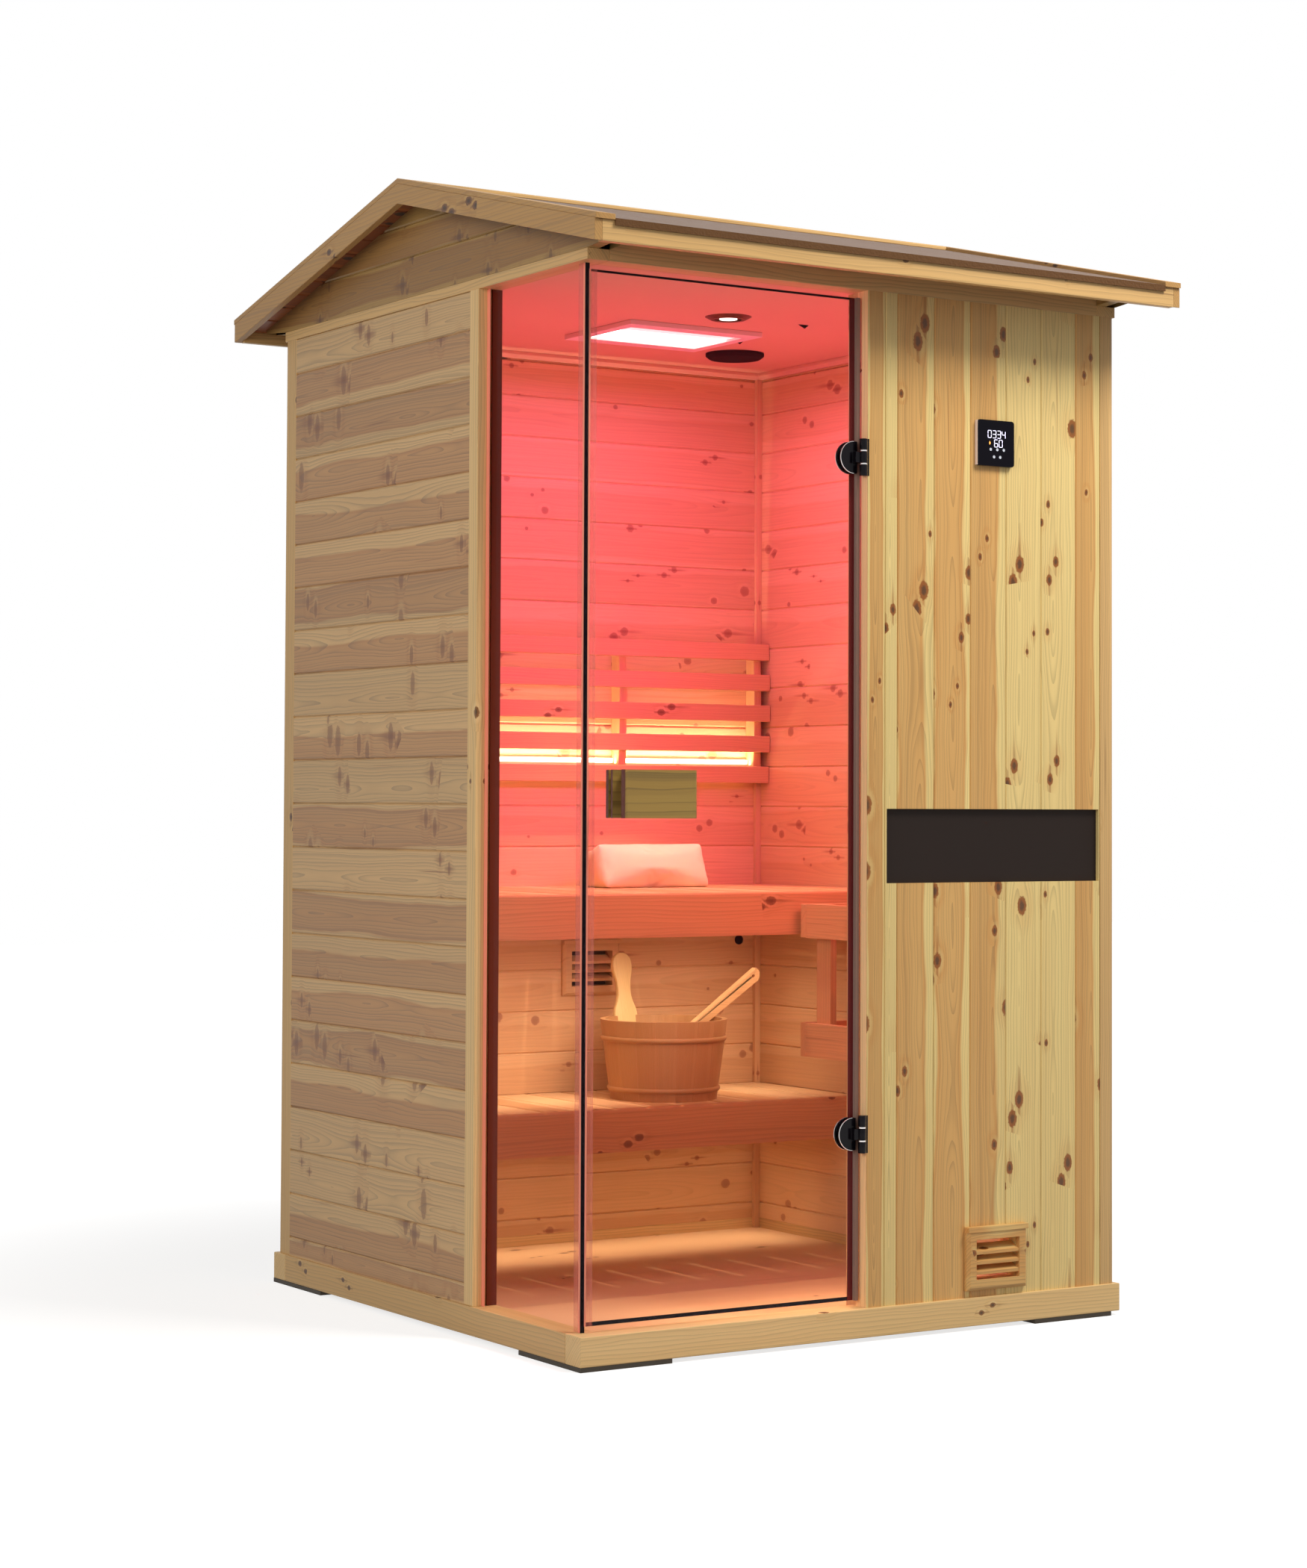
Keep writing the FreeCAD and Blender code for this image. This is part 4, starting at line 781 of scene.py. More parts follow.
def cylinder(centre: Vector, radius: float, depth: float, axis: Axis, sides: int, ease: float) -> Thing:
    """Model a round block with eased rims.

    Args:
        centre: Middle point.
        radius: Radius in metres.
        depth: Length in metres.
        axis: Axis that it runs along, Y or Z.
        sides: Number of sides.
        ease: Rounding of the rims in metres.

    Returns:
        The object.
    """
    turn = (math.pi / 2 if axis is Y else 0, 0, 0)
    bpy.ops.object.select_all(action="DESELECT")
    bpy.ops.mesh.primitive_cylinder_add(vertices=sides, radius=radius, depth=depth, location=centre,
                                        rotation=turn)
    made = settle("cylinder")
    bevel(made, lambda first, second: abs(first[axis.value] - second[axis.value]) < TINY, ease, 2)
    return made


def trace(points: list[Vector]) -> None:
    """Draw a line through points, stay in edit mode and select it all.

    Args:
        points: Points in order.
    """
    bpy.ops.object.select_all(action="DESELECT")
    bpy.ops.mesh.primitive_plane_add(size=0.001, location=points[0])
    bpy.ops.object.transform_apply(location=True, rotation=True, scale=True)
    mode("EDIT")
    bpy.ops.mesh.select_mode(type="VERT")
    bpy.ops.mesh.select_all(action="SELECT")
    bpy.ops.mesh.merge(type="CENTER")
    for here, ahead in zip(points, points[1:]):
        bpy.ops.mesh.extrude_region_move(TRANSFORM_OT_translate={"value": ahead - here})
    bpy.ops.mesh.select_all(action="SELECT")


def spun(profile: list[Pair], centre: Point, sides: int) -> Thing:
    """Model a turned piece from its half section.

    Args:
        profile: Radius and height of each point of the section, in order.
        centre: Point on the axis that heights start from.
        sides: Number of steps round the axis.

    Returns:
        The object.
    """
    trace([Vector((centre[0] + radius, centre[1], centre[2] + height)) for radius, height in profile])
    bpy.ops.mesh.spin(steps=sides, angle=2 * math.pi, center=centre, axis=(0, 0, 1))
    bpy.ops.mesh.select_all(action="SELECT")
    bpy.ops.mesh.remove_doubles(threshold=1e-5)
    bpy.ops.mesh.normals_make_consistent(inside=False)
    mode("OBJECT")
    made = settle("spun")
    smooth(made)
    return made


def outlined(points: list[Vector], depth: Vector, ease: float = 0.0) -> Thing:
    """Model a plate from its outline.

    Args:
        points: Corners of the outline in order.
        depth: Way from one face to the other.
        ease: Rounding of the face edges in metres.

    Returns:
        The object.
    """
    trace(points)
    bpy.ops.mesh.edge_face_add()
    bpy.ops.mesh.extrude_region_move(TRANSFORM_OT_translate={"value": depth})
    bpy.ops.mesh.select_all(action="SELECT")
    bpy.ops.mesh.normals_make_consistent(inside=False)
    mode("OBJECT")
    made = settle("plate")
    if ease:
        way = depth.normalized()
        bevel(made, lambda first, second: abs((first - second).dot(way)) < TINY, ease, 2)
    return made


def cut_by(planes: Iterable[tuple[Point, Point]], thing: Thing, trim: bool = True) -> None:
    """Cut a mesh by planes.

    Args:
        planes: Point and normal of each plane.
        thing: Object to cut.
        trim: Drop what lies beyond each plane and close the mesh there.
    """
    activate(thing)
    mode("EDIT")
    for point, way in planes:
        bpy.ops.mesh.select_all(action="SELECT")
        bpy.ops.mesh.bisect(plane_co=point, plane_no=way, use_fill=trim, clear_outer=trim)
    mode("OBJECT")


def smooth(thing: Thing, angle: float = 35.0) -> None:
    """Shade smoothly where faces meet below an angle in degrees."""
    activate(thing)
    bpy.ops.object.shade_smooth_by_angle(angle=math.radians(angle))


def cover(thing: Thing, material: Material) -> Thing:
    """Give an object one material.

    Args:
        thing: Object to cover.
        material: The material.

    Returns:
        The same object.
    """
    thing.data.materials.clear()
    thing.data.materials.append(material)
    return thing


def declare(name: str, parts: list[Thing], material: Material | None = None, body: str = "cabin",
            replaced: str = "") -> Thing:
    """Join finished parts into one piece and hang it on its body.

    Args:
        name: Name of the piece.
        parts: Its parts.
        material: Material of every part, or nothing where they have their own.
        body: Body that it moves with.
        replaced: CAD node that it stands for.

    Returns:
        The piece.
    """
    piece = parts[0]
    activate(piece)
    for part in parts:
        part.select_set(True)
        if material:
            cover(part, material)
    if len(parts) > 1:
        bpy.ops.object.join()
    piece.name = name
    piece.data.name = name
    if replaced:
        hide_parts(replaced)
    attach(piece, body)
    log.info("piece %s on %s, %d faces", name, body, len(piece.data.polygons))
    return piece


class Dressed:
    """Sub-assembly with CAD nodes whose shapes are right and that only need a finish.

    Each row of coats has the finish, the source of its grain, the width of the eased edges in
    metres, and the nodes.
    """

    coats: tuple = ()

    def dress(self) -> None:
        """Give the CAD nodes their finishes and ease their edges."""
        for look, grain, ease, *nodes in self.coats:
            for node in nodes:
                thing = cover(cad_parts[node], finish(look, grain))
                if ease:
                    thing.modifiers.new("weld", "WELD").merge_threshold = 0.00005
                    edge = thing.modifiers.new("ease", "BEVEL")
                    edge.width = ease
                    edge.segments = 2
                    edge.limit_method = "ANGLE"
                    edge.angle_limit = math.radians(30)
                    edge.harden_normals = False
                log.info("node %s repainted", node)


# Boards


class Stock:
    """Boards cut from prototypes, each with grain coordinates of its own."""

    def __init__(self) -> None:
        """Start with no prototype."""
        self.made: dict[tuple, bpy.types.Mesh] = {}

    def prototype(self, length: float, width: float, thick: float, groove: float,
                  sides: tuple[bool, bool]) -> bpy.types.Mesh:
        """Model one board about the origin, its length along X and its face up.

        Args:
            length: Length in metres.
            width: Width in metres.
            thick: Thickness in metres.
            groove: Width of the chamfer along its face edges.
            sides: Whether the low and the high edge have the chamfer.

        Returns:
            The prototype's mesh.
        """
        key = tuple(round(value, 5) for value in (length, width, thick, groove)) + sides
        if key not in self.made:
            board = block(Span((-length / 2, -width / 2, -thick), (length / 2, width / 2, 0.0)))

            def on_edge(first: Vector, second: Vector) -> bool:
                """Tell the edges along the face's two sides.

                Args:
                    first: One end of the edge.
                    second: The other end.

                Returns:
                    Whether the edge gets a chamfer.
                """
                along = abs(first.y - second.y) < TINY and abs(first.z) < TINY and abs(second.z) < TINY
                return along and sides[int(first.y > 0)]

            if groove and any(sides):
                bevel(board, on_edge, groove)
            self.made[key] = board.data
            bpy.data.objects.remove(board)
        return self.made[key]

    def lay(self, length: float, width: float, thick: float, place: Matrix, seed: int, groove: float = 0.003,
            sides: tuple[bool, bool] = (True, True), part: Pair = (0.0, 0.0), full: float = 0.0) -> Thing:
        """Lay a board in its place.

        Args:
            length: Length in metres.
            width: Width in metres.
            thick: Thickness in metres.
            place: Turns the prototype's X, Y, Z to the board's length, width and face.
            seed: Choice of the board's wood.
            groove: Width of the chamfer along its face edges.
            sides: Whether the low and the high edge have the chamfer.
            part: Middle of this piece along and across its whole board.
            full: Width of the whole board, or 0 for its own.

        Returns:
            The board.
        """
        mesh = self.prototype(length, width, thick, groove, sides).copy()
        dice = random.Random(seed)
        shift = Vector((dice.uniform(0, 9), dice.uniform(0, 9), 0.0))
        tone, drift = dice.random(), dice.random()
        half = (full or width) / 2
        rows = {"grain": [], "board": []}
        for point in mesh.vertices:
            here = point.co
            rows["grain"] += [here.x + part[0] + shift.x, here.y + part[1] + shift.y, here.z]
            rows["board"] += [tone, (here.y + part[1]) / half, drift]
        for name, values in rows.items():
            mesh.attributes.new(name, "FLOAT_VECTOR", "POINT").data.foreach_set("vector", values)
        mesh.transform(place)
        if place.determinant() < 0:
            mesh.flip_normals()
        made = bpy.data.objects.new("board", mesh)
        bpy.context.scene.collection.objects.link(made)
        return made


def plane_of(along: Axis, across: Axis, facing: Axis, face: float, outwards: int) -> Matrix:
    """Frame of an upright or level face.

    Args:
        along: Axis of the boards' length.
        across: Axis that the boards follow each other on.
        facing: Axis that the face looks along.
        face: Place of the face on that axis.
        outwards: 1 if the face looks to the axis's high end, or -1.

    Returns:
        Matrix from along, across and outwards to the row frame.
    """
    made = Matrix.Diagonal((0.0, 0.0, 0.0, 1.0))
    for column, (axis, sign) in enumerate(((along, 1), (across, 1), (facing, outwards))):
        made[axis.value][column] = sign
    made[facing.value][3] = face
    return made


@dataclass(frozen=True)
class Cladding:
    """Tongued boards over a flat rectangle.

    Attributes:
        plane: Frame of the face, its first axis along the boards and its third outwards.
        run: Ends of the boards.
        spread: First and last edge of the cladding.
        pitch: Width of a board.
        first: Widths of the boards before the first whole one.
        thick: Thickness of a board.
        groove: Width of the chamfer of a joint.
        holes: Rectangles left open, each low and high along, then low and high across.
        sliver: Narrowest board worth laying.
    """

    plane: Matrix
    run: Pair
    spread: Pair
    pitch: float = 0.087
    first: tuple[float, ...] = ()
    thick: float = 0.023
    groove: float = 0.003
    holes: tuple[tuple[float, ...], ...] = ()
    sliver: float = 0.004

    @staticmethod
    def on(span: Span, along: Axis, across: Axis, facing: Axis, outwards: int,
           **changes: object) -> "Cladding":
        """Clad one face of a block.

        Args:
            span: The block.
            along: Axis of the boards' length.
            across: Axis that the boards follow each other on.
            facing: Axis that the face looks along.
            outwards: 1 if the face looks to the axis's high end, or -1.
            **changes: Other sizes of the cladding.

        Returns:
            The cladding.
        """
        plane = plane_of(along, across, facing, span.ends(facing)[outwards > 0], outwards)
        return Cladding(plane, span.ends(along), span.ends(across), **changes)

    def edges(self) -> list[Pair]:
        """Work out where the boards end.

        Returns:
            Low and high edge of every board.
        """
        rows = []
        low = self.spread[0]
        steps = iter(self.first)
        while low < self.spread[1] - self.sliver:
            high = min(low + next(steps, self.pitch), self.spread[1])
            rows.append((low, high))
            low = high
        return rows

    def cells(self, low: float, high: float) -> list[tuple[float, float, float, float]]:
        """Parts of one board that its holes leave.

        Args:
            low: Low edge of the board.
            high: High edge of the board.

        Returns:
            Low and high along, then low and high across, of each part.
        """
        rest = [(*self.run, low, high)]
        for left, right, under, over in self.holes:
            kept = []
            for a0, a1, b0, b1 in rest:
                if left >= a1 or right <= a0 or under >= b1 or over <= b0:
                    kept.append((a0, a1, b0, b1))
                    continue
                c0, c1 = max(a0, left), min(a1, right)
                cells = ((a0, left, b0, b1), (right, a1, b0, b1), (c0, c1, b0, under), (c0, c1, over, b1))
                kept += [cell for cell in cells if cell[0] < cell[1] and cell[2] < cell[3]]
            rest = kept
        return rest

    def build(self, stock: Stock, look: Wood, seed: int) -> list[Thing]:
        """Lay the boards.

        Args:
            stock: Source of the boards.
            look: Their wood.
            seed: Choice of their grain.

        Returns:
            The boards.
        """
        boards = []
        middle = sum(self.run) / 2
        for row, (low, high) in enumerate(self.edges()):
            for a0, a1, b0, b1 in self.cells(low, high):
                along, across = (a0 + a1) / 2, (b0 + b1) / 2
                place = self.plane @ Matrix.Translation((along, across, 0.0))
                sides = (abs(b0 - low) < TINY and row > 0, abs(b1 - high) < TINY)
                board = stock.lay(a1 - a0, b1 - b0, self.thick, place, seed + row, self.groove, sides,
                                  (along - middle, across - (low + high) / 2), high - low)
                boards.append(cover(board, finish(look, Grain.BOARD)))
        return boards


# Sub-assemblies


class Base(Dressed):
    """Foot pads, base frame and floor."""

    coats = (
        (PAD_PLASTIC, None, 0.0, "foot_pads"),
        (BASE_WOOD, Grain.X, 0.0015, "base_end_boards"),
        (FRAME_WOOD, Grain.Y, 0.0015, "base_side_boards"),
        (FLOOR_WOOD, Grain.X, 0.0, "floor_panel"),
    )


@dataclass
class Walls(Dressed):
    """Walls clad with boards on both faces, with their posts.

    Attributes:
        stock: Source of the boards.
        start: Width of the lowest outer board.
        inner_start: Width of the lowest inner board.
        border: Width of a vent's frame in front of the wall.
        lip: Height of the lip under a vent's top.
        front_pitch: Width of an upright board.
        front_first: Widths of the first upright boards.
        leaf: Height of the recess for a hinge leaf, and its end along X.
    """

    stock: Stock
    start: float = 0.037
    inner_start: float = 0.034
    border: float = 0.02
    lip: float = 0.004
    front_pitch: float = 0.0845
    front_first: Pair = (0.04, 0.028)
    leaf: Pair = (0.068, 0.009)
    coats = (
        (FRAME_WOOD, Grain.Z, 0.0012, "corner_posts"),
        (BASE_WOOD, Grain.Z, 0.0012, "window_post"),
        (FRAME_WOOD, Grain.Y, 0.001, "side_friezes"),
        (FRAME_WOOD, Grain.X, 0.001, "end_friezes"),
        (INSET_PANEL, None, 0.0, "inset_panel"),
    )

    def clad(self, node: str, outer: tuple[Wood, Cladding], inner: Cladding, seed: int) -> None:
        """Replace a wall by its boards.

        Args:
            node: CAD node of the wall.
            outer: Outer wood and cladding.
            inner: Inner cladding.
            seed: Choice of the grain.
        """
        boards = outer[1].build(self.stock, outer[0], seed)
        boards += inner.build(self.stock, INNER_WALL, seed + 100)
        declare(f"{node}_boards", boards, replaced=node)

    def build(self) -> None:
        """Build the four walls."""
        rows = (("left_wall", Y, X, -1, 11), ("right_wall", Y, X, 1, 53), ("back_wall", X, Y, 1, 97))
        for node, along, facing, outwards, seed in rows:
            span = Span.of(node)
            holes = (self.vent_hole("back_vent"),) if facing is Y else ()
            outer, inner = (
                Cladding.on(span, along, Z, facing, way, first=(start,), holes=holes)
                for way, start in ((outwards, self.start), (-outwards, self.inner_start)))
            self.clad(node, (SIDE_WALL_PART_SHADED, outer), inner, seed)
        self.front_wall()

    def vent_hole(self, node: str) -> tuple[float, float, float, float]:
        """Work out the opening of a vent.

        Args:
            node: CAD node of the vent.

        Returns:
            Low and high X, then low and high Z.
        """
        (left, right), (under, over) = (Span.of(node).ends(axis) for axis in (X, Z))
        return left + self.border, right - self.border, under + self.border, over - self.border - self.lip

    def front_wall(self) -> None:
        """Build the wall beside the door, upright boards outside and level boards inside."""
        span, slot, leaves = (Span.of(node) for node in ("front_wall", "inset_panel", "hinge_leaves"))
        vent = self.vent_hole("front_vent")
        holes = [(*vent[2:], *vent[:2]), (*slot.ends(Z), *slot.ends(X))]
        tall, end = self.leaf
        for low in (leaves.low[2], leaves.high[2] - tall):
            holes.append((low, low + tall, span.low[0], end))
        outer = Cladding.on(span, Z, X, Y, -1, pitch=self.front_pitch, first=self.front_first, groove=0.002,
                            holes=tuple(holes))
        inner = Cladding.on(span, X, Z, Y, 1, first=(self.inner_start,), holes=(vent,))
        self.clad("front_wall", (FRONT_WALL, outer), inner, 8)


@dataclass
class Roof(Dressed):
    """Gables, boarded roof, covering and edge boards.

    Attributes:
        stock: Source of the boards.
        pitch: Width of a roof board.
        plumb: Upright thickness of a slope.
        rake: Upright depth of a rake board.
        gable_pitch: Width of a gable board.
        gable_first: Width of the lowest gable board.
        wall_half: Half of the walls' depth.
        tip: Rise of the gable's underside at its tips.
    """

    stock: Stock
    pitch: float = 0.072
    plumb: float = 0.02
    rake: float = 0.038
    gable_pitch: float = 0.062
    gable_first: float = 0.078
    wall_half: float = 0.594
    tip: float = 0.008
    coats = (
        (EDGE_WOOD, Grain.Y, 0.0012, "rake_boards", "rake_trims"),
        (FRAME_WOOD, Grain.X, 0.0012, "eaves_boards", "ridge_cap"),
        (ROOF_SKIN, None, 0.0, "roof_sheet"),
    )

    def build(self) -> None:
        """Build the gables and the boarded slopes."""
        span = Span.of("rake_boards")
        angle = math.atan((span.size.z - self.rake) / (span.size.y / 2))
        for node, outwards in (("gable_left", -1), ("gable_right", 1)):
            self.gable(node, outwards, angle)
        for node, side in (("roof_boards_front", -1), ("roof_boards_back", 1)):
            self.slope(node, side, angle)

    def slope(self, node: str, side: int, angle: float) -> None:
        """Board one slope, its joints towards the soffit.

        Args:
            node: CAD node of the slope.
            side: -1 for the front and 1 for the back.
            angle: Angle of the roof in radians.
        """
        span = Span.of(node)
        down = Vector((0, side * math.cos(angle), -math.sin(angle)))
        out = Vector((0, -side * math.sin(angle), -math.cos(angle)))
        plane = Matrix((Vector((1, 0, 0)), down, out)).transposed().to_4x4()
        plane.translation = (0, 0, span.high[2] - self.plumb)
        reach = max(abs(span.low[1]), abs(span.high[1])) / math.cos(angle)
        skin = Cladding(plane, span.ends(X), (0.0, reach), pitch=self.pitch,
                        thick=self.plumb * math.cos(angle), groove=0.004)
        boards = skin.build(self.stock, SOFFIT_WOOD, 211 + 40 * side)
        declare(f"{node}_laid", boards, replaced=node)

    def gable(self, node: str, outwards: int, angle: float) -> None:
        """Board one gable and trim it to the roof.

        Args:
            node: CAD node of the gable.
            outwards: -1 for the left gable and 1 for the right one.
            angle: Angle of the roof in radians.
        """
        span = Span.of(node)
        boards = []
        for way in (outwards, -outwards):
            skin = Cladding.on(span, Y, Z, X, way, pitch=self.gable_pitch, first=(self.gable_first,))
            boards += skin.build(self.stock, SHADED_GABLE_WOOD, 307 + 50 * outwards)
        piece = declare(f"{node}_boards", boards, replaced=node)
        rise = self.tip / (span.high[1] - self.wall_half)
        planes = []
        for side in (-1, 1):
            planes.append(((0, 0, span.high[2]), (0, side * math.sin(angle), math.cos(angle))))
            planes.append(((0, side * self.wall_half, span.low[2]), (0, side * rise, -1.0)))
        cut_by(planes, piece)


@dataclass
class Glazing(Dressed):
    """Side pane, glass door, seals, hinges and handle.

    Attributes:
        edge: Thickness of the dark line along the side pane's front edge.
        film: Thickness of a strip on the glass.
        corner: Where the pale strip and the fin at the corner end, from the pane's front edge.
        post_strip: Thickness and width of the pale strip beside the window post.
        post_shade_depth: Depth of the dark strip in front of the post, painted shade of the post's face
            behind the pane.
        door_fin: Where the pale strip and the fin along the door's free edge end.
        door_maroon: Width of the maroon strip along the hinge edge.
        door_grey: Width of the seal between the door and the wall.
        door_ends: Height of the dark strips at the door's top and foot.
        lining: Thickness of the lining of the doorway, and its distance from the wall's face and the door's.
        hinge_axis: Place of the door's axis along X and Y.
        clamp: Radius of a clamp, and thickness of its plate.
        rim: Distance of a rim's middle inside the clamp's edge, and its own radius.
        leaf_half: Half of a wall leaf's height.
        washer: Radius and thickness of a washer, and its distance from the hinge's middle.
        washer_ease: Rounding of its rims.
    """

    edge: float = 0.0012
    film: float = 0.0004
    corner: Pair = (0.0055, 0.021)
    post_strip: Pair = (0.0012, 0.01)
    post_shade_depth: float = 0.004
    door_fin: Pair = (0.0035, 0.016)
    door_maroon: float = 0.0115
    door_grey: float = 0.0068
    door_ends: Pair = (0.004, 0.007)
    lining: tuple[float, float, float] = (0.0006, 0.0008, 0.005)
    hinge_axis: Pair = (-0.0015, -0.59)
    clamp: Pair = (0.0295, 0.004)
    rim: Pair = (0.0006, 0.0009)
    leaf_half: float = 0.034
    washer: tuple[float, float, float] = (0.0076, 0.0028, 0.012)
    washer_ease: float = 0.0006
    coats = (
        (CLEAR_GLASS, None, 0.0, "side_glass", "door_glass"),
        (CLEAR_SEAL, None, 0.0, "door_seals"),
        (HINGE_CHROME, None, 0.0008, "hinge_clamps", "hinge_back_plates"),
        (HINGE_CHROME, None, 0.0006, "hinge_leaves"),
        (HANDLE_WOOD, Grain.X, 0.0015, "handle_outer"),
        (HANDLE_WOOD, Grain.X, 0.001, "handle_inner"),
    )

    def strips(self, name: str, rows: list[tuple], slot: str = "seal_rubber", body: str = "cabin") -> None:
        """Lay thin strips and join them into one piece.

        Args:
            name: Name of the piece.
            rows: Material and two corners of each strip.
            slot: Not used.
            body: Body that it moves with.
        """
        parts = [cover(block(Span(low, high)), material) for material, low, high in rows]
        declare(name, parts, body=body)

    def build(self) -> None:
        """Build the edges and seal fins of both panes, and the linings beside them."""
        pane, door, post, wall = (
            Span.of(node) for node in ("side_glass", "door_glass", "window_post", "front_wall"))
        dark, pale, fin, maroon, grey, post_shade = (
            finish(look) for look in (DARK_EDGE, PALE_EDGE, SEAL_FILM, MAROON_SEAL, GREY_SEAL, POST_SHADE_PAINT))
        film, (x, y, low), (inside, _, high), front = self.film, pane.low, pane.high, post.low[1]
        first, last = (y + step for step in self.corner)
        thick, wide = self.post_strip
        self.strips("side_pane_edges", [
            (dark, (x, y - self.edge, low), (inside, y, high)),
            (pale, (x - film, y, low), (x, first, high)),
            (fin, (x - film, first, low), (x, last, high)),
            (pale, (x - thick, front - wide, low), (x, front, high)),
        ])
        # Dark strip on the post's face behind the pane: painted shade.
        self.strips("window_post_painted_shade", [
            (post_shade, (inside, front - self.post_shade_depth, low), (post.high[0], front, high))], "frame_wood")
        (left, face, under), (right, back, over) = door.low, door.high
        outer, (top, foot) = back + film, self.door_ends
        first, last = (left + step for step in self.door_fin)
        self.strips("door_seal_fins", [
            (pale, (left, back, under), (first, outer, over)),
            (fin, (first, back, under), (last, outer, over)),
            (maroon, (right - self.door_maroon, back, under), (right, outer, over)),
            (grey, (right, face - film, under), (right + self.door_grey, back, over)),
            (dark, (left, outer, over - top), (right, outer + film, over)),
            (dark, (left, outer, under), (right, outer + film, under + foot)),
        ], body="door")
        (side, near, foot), (thick, behind, beyond) = wall.low, self.lining
        self.strips("door_lining", [
            (finish(LINING_WOOD, Grain.Z), (side - thick, near + behind, foot),
             (side, back + beyond, wall.high[2]))], "frame_wood")
        self.hinges()

    def hinges(self) -> None:
        """Build the bright rims and washers of the hinges."""
        plates, leaves, glass = (
            Span.of(node) for node in ("hinge_back_plates", "hinge_leaves", "door_glass"))
        bright = finish(BRIGHT_CHROME)
        (radius, plate), (inside, bead) = self.clamp, self.rim
        washer, thick, apart = self.washer
        rims, washers = [], []
        for level in (leaves.low[2] + self.leaf_half, leaves.high[2] - self.leaf_half):
            middle = Vector((plates.low[0] + radius, 0.0, level))
            for face in (glass.low[1] - plate, glass.high[1] + plate):
                bpy.ops.object.select_all(action="DESELECT")
                bpy.ops.mesh.primitive_torus_add(
                    major_radius=radius - inside, minor_radius=bead, major_segments=64, minor_segments=8,
                    location=middle + Vector((0, face, 0)), rotation=(math.pi / 2, 0, 0))
                rims.append(settle("rim"))
                cut_by([(middle, (1, 0, 0))], rims[-1])
            for side in (-1, 1):
                centre = Vector((*self.hinge_axis, level + side * apart))
                washers.append(cylinder(centre, washer, thick, Z, 32, self.washer_ease))
        declare("hinge_rims", rims, bright, "door")
        declare("hinge_washers", washers, bright)


# Strokes of each digit on a seven-segment display, from a at the top clockwise to f, and g in the middle

SEGMENTS = {"0": "abcdef", "3": "abgcd", "4": "fgbc", "6": "afgedc"}


def ring(centre: Vector, outer: float, inner: float, depth: float) -> Thing:
    """Model a ring on a face that looks to the front.

    Args:
        centre: Middle of its back.
        outer: Outer radius.
        inner: Inner radius.
        depth: Thickness.

    Returns:
        The ring.
    """
    ease = depth / 5
    made = cylinder(centre + Vector((0, -depth / 2, 0)), outer, depth, Y, 28, ease)
    pick(made, "FACE", "polygons", lambda face: face.normal.y < -0.99 and face.area > outer * outer)
    bpy.ops.mesh.inset(thickness=outer - inner - ease)
    bpy.ops.mesh.extrude_region_move(TRANSFORM_OT_translate={"value": (0, 0.85 * depth, 0)})
    mode("OBJECT")
    return made


